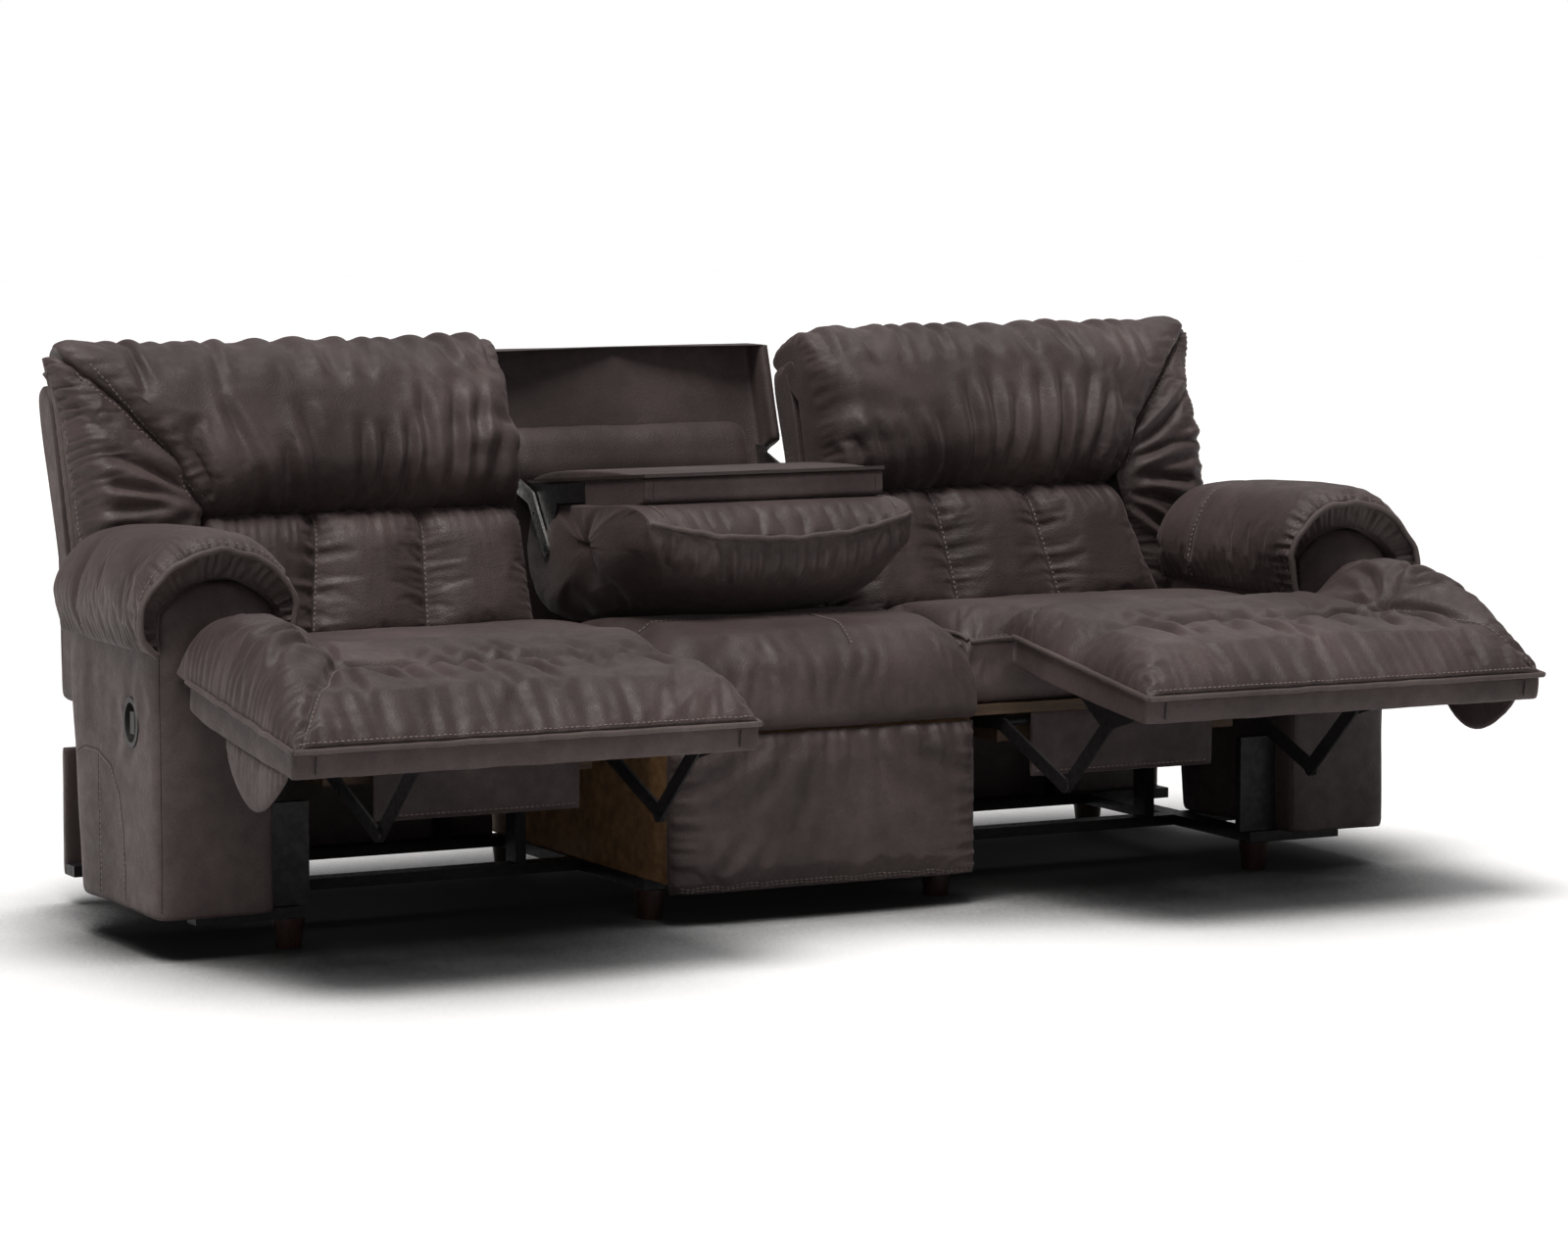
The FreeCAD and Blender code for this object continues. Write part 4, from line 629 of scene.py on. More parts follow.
def trim(body, kind):
    """The bundle of a body's welts, stitches or seam lines."""
    return trims.setdefault((body, kind), Bundle())


def stitch_row(item, body, path, side=1):
    """A row of stitches on a piece, with no seam beside it."""
    line, normals = along_line(item, mirror(path, side))
    trim(body, "stitch").stitches(smooth_path(line), normals)


def seam_line(item, body, path, stitch_offset=None, side=1, welt=0.0, depth=0.5):
    """A seam on a piece: a sunk line in painted shade or a raised welt, with a row of stitches beside it."""
    line, normals = along_line(item, mirror(path, side))
    line = smooth_path(line)
    if welt:
        trim(body, "welt").tube(line + normals * welt * 0.3, welt, 8)
    else:
        trim(body, "seam").tube(line - normals * depth, 1.1, 6)
    for offset in stitch_offset or ():
        tangent = np.gradient(line, axis=0)
        tangent /= np.maximum(np.linalg.norm(tangent, axis=1), 1e-9)[:, None]
        beside = np.cross(normals, tangent)
        row, row_normals = along_line(item, line + beside * offset)
        trim(body, "stitch").stitches(smooth_path(row), row_normals)


# Footrest pads: a front roll, a crease and a flatter rear part, with a high lobe before the arm.
PAD_BASE = 81.3
PAD_FRONT, PAD_REAR = 163.0, -343.0
PAD_INNER, PAD_OUTER = 357.0, 1143.0
MAIN_CROWN = ((-343, 30), (-300, 46), (-240, 52), (-150, 52), (-85, 45), (-30, 56), (30, 63), (90, 60),
              (163, 44))
LOBE_CROWN = ((-343, 70), (-300, 96), (-220, 112), (-120, 114), (-40, 108), (30, 94), (90, 74), (163, 46))


def lobe_seam(ahead):
    """X of the seam between the footrest's main pad and its outer lobe."""
    return 985.0 + 150.0 * min(max((ahead + 90.0) / 253.0, 0.0), 1.0) ** 1.25


def footrest_height(x, ahead):
    main, lobe = table_of(MAIN_CROWN, ahead), table_of(LOBE_CROWN, ahead)
    beyond = x - lobe_seam(ahead)
    top = main + (lobe - main) * ease(-34.0, 64.0, beyond)
    top -= 9.0 * math.exp(-(beyond / 11.0) ** 2) * (1.0 if ahead > -120 else 0.4)
    front = edge_round(PAD_FRONT - ahead, 74.0, 2.1)
    rear = edge_round(ahead - PAD_REAR, 46.0, 2.0)
    inner = edge_round(x - PAD_INNER, 58.0, 2.1)
    outer = edge_round(PAD_OUTER - x, 78.0, 2.2)
    return max(top * front * rear * inner * outer, 2.5)


def make_footrest_pad(name, side, seed):
    us = spread(PAD_INNER, PAD_OUTER, 128, 0.5)
    vs = spread(PAD_FRONT, PAD_REAR, 92, 0.5)
    item, index = pad(name + "_footrest_cushion", us, vs,
                         lambda x, a, h: on_board(x, a, PAD_BASE + h), footrest_height, side)
    grid = grid_of(item, index)
    ahead = vs[None, :]
    field = gathers(grid, 0, -1, 19.0, 6.0, 84.0, seed, smoothstep(-330, -250, ahead))
    field += gathers(grid, 1, 0, 74.0, 3.4, 66.0, seed + 5)
    field += gathers(grid, 0, 0, 30.0, 2.6, 46.0, seed + 9)
    push(item, index, field)
    points = get_points(item)
    field = np.zeros(len(points))

    def over(spots):
        return [on_board(x, a, PAD_BASE + footrest_height(x, a)) for x, a in spots]
    tuft = (975, -92)
    rays = (((1015, -118), (1065, -150), (1120, -205)), ((995, -140), (1010, -190), (1020, -270)),
            ((965, -140), (945, -190), (930, -260)), ((1020, -80), (1070, -50), (1112, 0)),
            ((1000, -50), (1025, 0), (1050, 70)), ((980, -40), (990, 10), (1003, 90)),
            ((930, -95), (890, -88), (830, -90)), ((1030, -100), (1075, -100), (1125, -110)),
            ((950, -60), (925, -20), (915, 40)))
    for ray in rays:
        field += crease(points, over((tuft,) + ray), 10.0, 12.0, side)
    rng = random.Random(seed)
    for x, length in ((690, 90), (735, 120), (560, 60), (830, 80), (470, 66), (640, 50), (780, 60), (890, 70),
                      (520, 40)):
        x += rng.uniform(-14, 14)
        bend = rng.uniform(-20, 20)
        spots = ((x, -72), (x + bend * 0.5, -60 + length * 0.35), (x + bend, -60 + length * 0.8),
                 (x + bend * 1.5, -50 + length * 1.4))
        field += crease(points, over(spots), rng.uniform(9, 14), rng.uniform(8.0, 13.0), side)
    for x, length in ((660, 110), (760, 90), (540, 80), (850, 70), (450, 60), (710, 60)):
        x += rng.uniform(-16, 16)
        bend = rng.uniform(-22, 22)
        spots = ((x, -106), (x + bend, -110 - length * 0.5), (x + bend * 1.4, -110 - length))
        field += crease(points, over(spots), rng.uniform(10, 15), rng.uniform(6.0, 10.0), side)
    middle = over([(x, -92 + 8 * math.sin(x / 60)) for x in np.linspace(PAD_INNER + 20, 965, 36)])
    field += crease(points, middle, 17.0, 13.0, side)
    push_all(item, field)
    puff(item, hold_rim(item, index), 5.0, -0.035, 13.0)
    return item


def trim_footrest(name, side, item):
    body = name + "_footrest"
    front = [on_board(x, PAD_FRONT + 2, PAD_BASE + 3) for x in np.linspace(PAD_INNER, PAD_OUTER, 120)]
    outer = [on_board(PAD_OUTER + 2, a, PAD_BASE + 3) for a in np.linspace(PAD_FRONT, PAD_REAR + 60, 80)]
    inner = [on_board(PAD_INNER - 1, a, PAD_BASE + 3) for a in np.linspace(PAD_FRONT, PAD_REAR + 60, 70)]
    rng = random.Random(7 if side > 0 else 11)
    for path, sway in ((front, 1.0), (outer, 3.4), (inner, 0.8)):
        path = np.array(path)
        phases = [rng.uniform(0, 6.28) for _ in range(3)]
        t = np.linspace(0, 1, len(path))
        lift = sum(np.sin(t * math.pi * k + p) / 3 for k, p in zip((9, 15, 23), phases)) * sway
        path[:, 2] += lift * np.sin(t * math.pi)
        trim(body, "welt").tube(smooth_path(mirror(path, side)), 4.6, 9)
    seam = [on_board(lobe_seam(a), a, PAD_BASE + footrest_height(lobe_seam(a), a))
            for a in np.linspace(PAD_FRONT - 6, -80, 60)]
    seam_line(item, body, seam, (-5.0,), side)
    rear = [on_board(x, -300, PAD_BASE + footrest_height(x, -300)) for x in np.linspace(400, 960, 60)]
    seam_line(item, body, rear, (5.0,), side)
    row = [on_board(x, PAD_FRONT - 7, PAD_BASE + 14) for x in np.linspace(PAD_INNER + 8, PAD_OUTER - 8, 90)]
    stitch_row(item, body, row, side)
    for x in (PAD_INNER + 34, PAD_OUTER - 36):
        band = [on_board(x, PAD_FRONT, above) for above in np.linspace(48, 76, 10)]
        trim(body, "seam").tube(mirror(band, side), 1.3, 6)


def make_footrest(name, side, seed):
    body = name + "_footrest"
    cushion = make_footrest_pad(name, side, seed)
    front, rear, low, high = 161.0, -283.0, 41.0, 81.0
    corners = [(front - 3, low), (front - 3, high - 4), (front - 8, high), (rear + 4, high), (rear, high - 5),
               (rear, low + 3), (rear + 5, low - 2), (front - 20, low - 2)]
    counts = (8, 5, 14, 4, 6, 4, 14, 4)
    loops = []
    for x in spread(PAD_INNER, 1140.0, 70, 0.7):
        edge = edge_round(x - PAD_INNER + 1, 9.0) * edge_round(1141.0 - x, 9.0)
        loop = curve_loop(corners, counts)
        loop[:, 0] = loop[:, 0] + (edge - 1) * 5 * np.sign(loop[:, 0])
        loops.append(np.array([on_board(x, a, b) for a, b in loop]))
    board, _ = lofted(name + "_footrest_box", loops, side)
    rumple(board, 1.6, 60.0, seed)
    finish_soft(board, body, name + "_footrest_board")
    return cushion, board


FLAP_X, FLAP_TOP, FLAP_DROP, FLAP_KEEP = 1128.0, 41.0, 96.0, 0.12


def make_flap(name, side, seed):
    """The soft triangle of cover that closes the gap between footrest and arm."""
    def place(u, v, h):
        ahead = -134.0 + 250.0 * u
        low = FLAP_TOP - FLAP_DROP * max(0.0, math.sin(math.pi * min(1.0, 0.08 + u * 0.92))) ** 0.8
        above = low + (FLAP_TOP - low) * v
        return on_board(FLAP_X + h, ahead, above)

    def height(u, v):
        return 1.0 + 10.0 * (edge_round(min(v, 1 - v) + 0.02, 0.3) * edge_round(min(u, 1 - u) + 0.02, 0.25))
    us, vs = spread(0.0, 1.0, 46, 0.4), spread(1.0, 0.0, 26, 0.4)
    item, index = pad(name + "_footrest_side_flap", us, vs, place, height, side)
    push(item, index, gathers(grid_of(item, index), 1, 0, 30.0, 2.2, 45.0, seed))
    return item


SEAT_LOOP = ((20, 338), (380, 338), (403, 350), (404, 392), (401, 428), (388, 452), (345, 470), (270, 481),
             (180, 488), (100, 488), (45, 481), (12, 450), (6, 400), (9, 352))
SEAT_COUNTS = (22, 4, 6, 5, 4, 6, 9, 10, 9, 8, 7, 7, 7, 4)


def make_seat(name, side, seed):
    inner, outer = 303.0, 962.0
    loops = []
    for x in spread(inner, outer, 96, 0.5):
        crown = edge_round(x - inner, 90.0, 2.2) * edge_round(outer - x, 90.0, 2.2)
        loop = curve_loop(SEAT_LOOP, SEAT_COUNTS)
        rise = smoothstep(350, 470, loop[:, 1])
        loop[:, 1] -= (1 - crown) * 34.0 * rise
        side_in = 1 - (edge_round(x - inner + 2, 16.0) * edge_round(outer - x + 2, 16.0))
        loop[:, 0] += side_in * 6.0 * np.where(loop[:, 0] < 200, 1, -1)
        loops.append(upright(loop, x))
    item, _ = lofted(name + "_seat_pad", loops, side, 2.0)
    rumple(item, 3.0, 120.0, seed)
    points = get_points(item)
    field = np.zeros(len(points))
    rng = random.Random(seed)
    for _ in range(9):
        x = rng.uniform(360, 900)
        y = rng.uniform(40, 300)
        run, turn = rng.uniform(40, 110), rng.uniform(-0.9, 0.9)
        path = [(x, y, 486), (x + run * math.cos(turn) * 0.5, y + run * math.sin(turn) * 0.5, 488),
                (x + run * math.cos(turn), y + run * math.sin(turn), 486)]
        field += crease(points, path, 9.0, 2.6, side)
    push_all(item, field)
    weights = np.zeros(len(points))
    weights[points[:, 2] < 372] = 1.0
    weights[points[:, 1] > 372] = 1.0
    puff(item, weights, 4.0, -0.02, 9.0)
    return item


def make_apron(name, side, seed):
    def place(u, v, h):
        return (u, 7.0 - h, v)

    def height(u, v):
        return 3.0 + 8.0 * (edge_round(min(u - 430, 802 - u), 40.0) * edge_round(min(v - 203, 317 - v), 30.0))
    us, vs = spread(432, 800, 60, 0.5), spread(316, 204, 30, 0.5)
    item, index = pad(name + "_front_skirt", us, vs, place, height, side)
    push(item, index, gathers(grid_of(item, index), 1, 0, 44.0, 2.0, 60.0, seed))
    return item


# The outer backs: a channelled lumbar pad, a head pillow over it and a wing out to the corner.
SOFT = -10.8
BACK_INNER, BACK_OUTER = 304.0, 1110.0
LUMBAR_EDGE = ((60, 146), (84, 148), (150, 164), (240, 188), (305, 204), (340, 210))
PILLOW_EDGE = ((322, 214), (348, 204), (420, 170), (520, 90), (590, 30), (626, 12), (650, 14))
WING_EDGE = ((84, 138), (96, 144), (150, 160), (240, 185), (330, 208), (420, 170), (520, 92), (586, 34),
             (612, 14))
WING_DEPTH = ((84, 14), (96, 22), (150, 42), (240, 64), (330, 84), (420, 92), (520, 84), (586, 66), (612, 50))


def table_of(rows, value):
    """Straight-line reading of a table of pairs."""
    if value <= rows[0][0]:
        return rows[0][1]
    for (a, low), (b, high) in zip(rows, rows[1:]):
        if value <= b:
            return low + (high - low) * (value - a) / (b - a)
    return rows[-1][1]


def make_lumbar(name, side, seed):
    channels = (0.335, 0.66)

    def place(u, v, h):
        outer = BACK_OUTER - table_of(LUMBAR_EDGE, v)
        return on_back(BACK_INNER + (outer - BACK_INNER) * u, SOFT - h, v)

    def height(u, v):
        width = BACK_OUTER - table_of(LUMBAR_EDGE, v) - BACK_INNER
        body = 104.0 * (edge_round(v - 64, 62.0, 2.3) * edge_round(336 - v, 72.0, 2.1))
        ends = edge_round(u * width, 60.0, 2.2) * edge_round((1 - u) * width, 36.0, 2.2)
        groove = sum(math.exp(-abs((u - c) * width / 22.0) ** 1.15) for c in channels)
        return max(body * ends * (1 - 0.27 * groove) + 2.0, 3.0)
    us, vs = spread(0.0, 1.0, 120, 0.25), spread(336.0, 64.0, 64, 0.4)
    item, index = pad(name + "_lumbar_pad", us, vs, place, height, side)
    grid = grid_of(item, index)
    field = gathers(grid, 1, 0, 34.0, 7.0, 80.0, seed)
    field += gathers(grid, 1, -1, 46.0, 4.5, 60.0, seed + 3)
    field += gathers(grid, 0, 0, 20.0, 5.2, 60.0, seed + 5)
    field += gathers(grid, 0, -1, 22.0, 4.2, 46.0, seed + 7)
    nearest = [int(np.argmin(np.abs(us - c))) for c in channels]
    for row in nearest:
        field += gathers(grid, 0, row, 30.0, 2.6, 44.0, seed + row)
    push(item, index, field)
    weights = hold_rim(item, index)
    weights[index[nearest]] = 1.0
    puff(item, weights, 4.5, -0.03, 12.0)
    return item, [[place(c, v, height(c, v)) for v in np.linspace(322, 84, 50)] for c in channels]


PILLOW_LOOP = ((-12, 326), (-60, 328), (-104, 344), (-131, 385), (-138, 440), (-130, 505), (-110, 570),
               (-72, 625), (-20, 648), (28, 646), (60, 626), (64, 600), (40, 592), (20, 591), (-10.8, 586),
               (-10.8, 470))
PILLOW_COUNTS = (6, 6, 8, 9, 9, 9, 9, 9, 8, 6, 5, 4, 4, 5, 12, 12)


EAR_PLACE, EAR_SIZE, EAR_PUSH = (24.0, 606.0), 50.0, (22.0, -6.0, 14.0)


def ear(item, side):
    """The top outer corner of a back stands out as a soft ear."""
    points = get_points(item)
    tip = mirror(on_back(BACK_OUTER, SOFT - EAR_PLACE[0], EAR_PLACE[1]), side)
    away = np.linalg.norm((points - tip) * np.array([1.0, 0.8, 1.0]), axis=1)
    share = np.exp(-(away / EAR_SIZE) ** 2)
    set_points(item, points + share[:, None] * mirror(EAR_PUSH, side))


def make_pillow(name, side, seed):
    loops = []
    shares = spread(0.0, 1.0, 130, 0.35)
    base = curve_loop(PILLOW_LOOP, PILLOW_COUNTS)
    for u in shares:
        loop = []
        for across, along in base:
            outer = BACK_OUTER - table_of(PILLOW_EDGE, along)
            width = outer - BACK_INNER
            x = BACK_INNER + width * u
            inner_end = edge_round(u * width + 1, 74.0, 2.2)
            outer_end = edge_round((1 - u) * width + 1, 34.0, 2.0)
            if across < SOFT:
                across = SOFT + (across - SOFT) * (0.30 + 0.70 * inner_end) * (0.70 + 0.30 * outer_end)
            if along > 600:
                along = 600 + (along - 600) * (0.35 + 0.65 * inner_end) * (0.62 + 0.38 * outer_end)
            loop.append(on_back(x, across, along))
        loops.append(np.array(loop))
    item, index = lofted(name + "_head_cushion", loops, side, 1.0)
    points = get_points(item)
    field = np.zeros(len(points))
    rng = random.Random(seed)
    # Pull folds rise from the tuck between pillow and lumbar pad, and lean outward as they go up.
    for k in range(13):
        x = 375 + k * 42 + rng.uniform(-13, 13)
        lean = (x - 600) / 260 * 55 + rng.uniform(-14, 14)
        tall = rng.uniform(80, 225)
        path = [on_back(x, -95, 330), on_back(x + lean * 0.25, -128, 334 + tall * 0.3),
                on_back(x + lean * 0.6, -136, 334 + tall * 0.65), on_back(x + lean, -138, 334 + tall)]
        field += crease(points, path, rng.uniform(10, 17), rng.uniform(9.0, 15.0), side)
    for k in range(15):
        x = 345 + k * 46 + rng.uniform(-14, 14)
        turn = rng.uniform(-26, 26)
        path = [on_back(x, 10, 648), on_back(x + turn * 0.3, -50, 636), on_back(x + turn * 0.6, -96, 598),
                on_back(x + turn, -122, 545)]
        field += crease(points, path, rng.uniform(10, 15), rng.uniform(5.0, 9.0), side)
    # Three long soft folds from the inner side, and gathers along the seam to the wing.
    for start, goal in ((590, 520), (470, 450), (400, 395)):
        halfway = (start + goal) / 2 + 8
        path = [on_back(308, -70, start), on_back(370, -128, halfway), on_back(450, -138, goal)]
        field += crease(points, path, 20.0, 6.0, side)
    push_all(item, field)
    grid = grid_of(item, index)
    field = gathers(grid, 0, -1, 24.0, 3.4, 40.0, seed + 2) + gathers(grid, 0, 0, 24.0, 3.0, 40.0, seed)
    push(item, index, field)
    ear(item, side)
    rumple(item, 3.5, 90.0, seed)
    behind, over = points[:, 1] - BACK_PIVOT[0], points[:, 2] - BACK_PIVOT[1]
    across = behind * math.cos(BACK_LEAN) - over * math.sin(BACK_LEAN)
    weights = np.ones(len(points))
    weights[index.ravel()] = np.where(across[index.ravel()] > SOFT - 6, 1.0, 0.0)
    weights[index[0]] = weights[index[-1]] = 1.0
    puff(item, weights, 4.5, -0.03, 12.0)
    return item


def make_wing(name, side, seed):
    def place(u, v, h):
        inset = table_of(WING_EDGE, v)
        return on_back(BACK_OUTER - inset * (1 - u), SOFT - h, v)

    def height(u, v):
        inset = table_of(WING_EDGE, v)
        deep = table_of(WING_DEPTH, v)
        ends = edge_round(v - 82, 46.0, 2.2) * edge_round(616 - v, 26.0, 2.2)
        near = edge_round(u * inset + 2, 24.0, 2.0)
        far = edge_round((1 - u) * inset + 1, 52.0, 2.0)
        return max(deep * ends * (0.84 + 0.16 * near) * (0.12 + 0.88 * far), 3.0)
    us, vs = spread(0.0, 1.0, 70, 0.3), spread(614.0, 84.0, 130, 0.3)
    item, index = pad(name + "_wing_pad", us, vs, place, height, side)
    push(item, index, gathers(grid_of(item, index), 0, -1, 17.0, 5.4, 50.0, seed))
    points = get_points(item)
    field = np.zeros(len(points))
    rng = random.Random(seed)
    for k in range(13):
        goal = 120 + k * 36 + rng.uniform(-9, 9)
        start = 332 + (goal - 332) * 0.16
        shares = (0.04, 0.36, 0.68, 0.95)
        bend = rng.uniform(-9, 12)
        path = []
        for u in shares:
            v = start + (goal - start) * u + bend * math.sin(math.pi * u)
            path.append(place(u, v, height(u, v)))
        field += crease(points, path, rng.uniform(7, 13), rng.uniform(6.0, 11.0), side)
    push_all(item, field)
    ear(item, side)
    puff(item, hold_rim(item, index), 4.5, -0.03, 11.0)
    return item


def make_back_shell(name, side, seed):
    """The upholstered box behind an outer back: its rear face is taut, with rounded edges."""
    loops = []
    for x in spread(BACK_INNER - 1, BACK_OUTER, 60, 0.8):
        edge = edge_round(x - BACK_INNER + 2, 26.0, 2.0) * edge_round(BACK_OUTER + 1 - x, 26.0, 2.0)
        rear = 24.5 + 66.0 * (0.55 + 0.45 * edge)
        bend = on_back(x, rear, 250)
        corners = [on_back(x, 24.8, 42), on_back(x, 24.8, 300), on_back(x, 24.8, 586),
                   on_back(x, rear - 8, 588 - (1 - edge) * 4), on_back(x, rear, 572),
                   on_back(x, rear + 1, 420), bend, (x, bend[1] + 1, 430), (x, bend[1], 372),
                   (x, bend[1] - 8, 362.5), (x, on_back(x, 24.8, 42)[1] + 6, 362.5)]
        loop = curve_loop([(p[1], p[2]) for p in corners], (10, 12, 6, 4, 10, 10, 8, 5, 3, 4, 3))
        loops.append(upright(loop, x))
    item, _ = lofted(name + "_back_box", loops, side)
    rumple(item, 1.5, 140.0, seed)
    return item


# Arms: a tall box with softly rounded edges and a horseshoe pillow over the top.
ARM_INNER, ARM_OUTER, ARM_LOW, ARM_TOP, ARM_ARCH = 970.0, 1170.0, 69.0, 560.0, 52.0
ARM_RADIUS = (ARM_OUTER - ARM_INNER) ** 2 / (8 * ARM_ARCH) + ARM_ARCH / 2


def make_arm(name, side, seed):
    loops = []
    for z in list(spread(ARM_LOW, ARM_TOP - 4, 66, 0.5)) + [ARM_TOP + k for k in (6, 18, 30, 40, 46)]:
        rear = 385.0 + 62.0 * (min(z, ARM_TOP) - ARM_LOW) / (ARM_TOP - ARM_LOW)
        bottom = edge_round(z - ARM_LOW + 2, 12.0, 2.0)
        shrink = (1 - bottom) * 6.0
        if z > ARM_TOP:
            half = math.sqrt(max(ARM_RADIUS ** 2 - (z - ARM_TOP + ARM_RADIUS - ARM_ARCH) ** 2, 1.0))
            shrink = (ARM_OUTER - ARM_INNER) / 2 - half
        swell = math.sin(math.pi * min((z - ARM_LOW) / (ARM_TOP - ARM_LOW), 1.0))
        x0, x1 = ARM_INNER + shrink, ARM_OUTER - shrink
        y0, y1 = shrink * 0.3, rear - shrink * 0.3
        r, rear_round = 22.0, 26.0 + 40.0 * float(smoothstep(440, 560, z))
        corners = [(x0 + r, y0), ((x0 + x1) / 2, y0 - 3.0 * swell), (x1 - r, y0),
                   (x1 - r * 0.28, y0 + r * 0.28), (x1, y0 + r), (x1 + 2.0 * swell, (y0 + y1) / 2),
                   (x1, y1 - rear_round), (x1 - rear_round, y1), (x0 + r, y1), (x0, y1 - r), (x0, (y0 + y1) / 2), (x0, y0 + r),
                   (x0 + r * 0.28, y0 + r * 0.28)]
        loop = curve_loop(corners, (8, 8, 3, 3, 18, 18, 7, 10, 5, 16, 16, 3, 3))
        loops.append(level(loop, z))
    item, _ = lofted(name + "_arm_box", loops, side)
    rumple(item, 2.4, 110.0, seed)
    points = get_points(item)
    field = np.zeros(len(points))
    rng = random.Random(seed)
    for _ in range(5):
        y, z = rng.uniform(60, 330), rng.uniform(420, 520)
        path = [(ARM_OUTER, y, z), (ARM_OUTER + 2, y + rng.uniform(-30, 30), z - 60),
                (ARM_OUTER, y + rng.uniform(-50, 50), z - 130)]
        field += crease(points, path, 16.0, 2.2, side)
    for _ in range(7):
        x, z = rng.uniform(985, 1155), rng.uniform(500, 560)
        path = [(x, 0, z), (x + rng.uniform(-12, 12), -3, z - 70), (x + rng.uniform(-24, 24), -3, z - 150)]
        field += crease(points, path, 15.0, 3.0, side)
    push_all(item, field)
    # The hole for the handle's cup, an upright oval in the outer side.
    turns = np.linspace(0, 2 * math.pi, 33)[:-1]
    rim = [(math.cos(t) * 31.5, math.sin(t) * 38.5) for t in turns]
    plug = [np.array([(x, 114 + a, 376 + b) for a, b in rim]) for x in (1120.0, 1190.0)]
    cutter, _ = lofted(name + "_handle_cutter", plug, side)
    modifier = item.modifiers.new("hole", "BOOLEAN")
    modifier.operation = "DIFFERENCE"
    modifier.object = cutter
    modifier.solver = "EXACT"
    apply_modifiers(item)
    bpy.data.objects.remove(cutter)
    return item


ARM_PAD_FRONT, ARM_PAD_REAR, ARM_PAD_DRAPE, ARM_PAD_SEAM = -17.0, 447.0, 66.0, 318.0
ARM_PAD_EAR, ARM_EAR_SIZE, ARM_EAR_PUSH = 0.9, 34.0, (9.0, -6.0, 5.0)


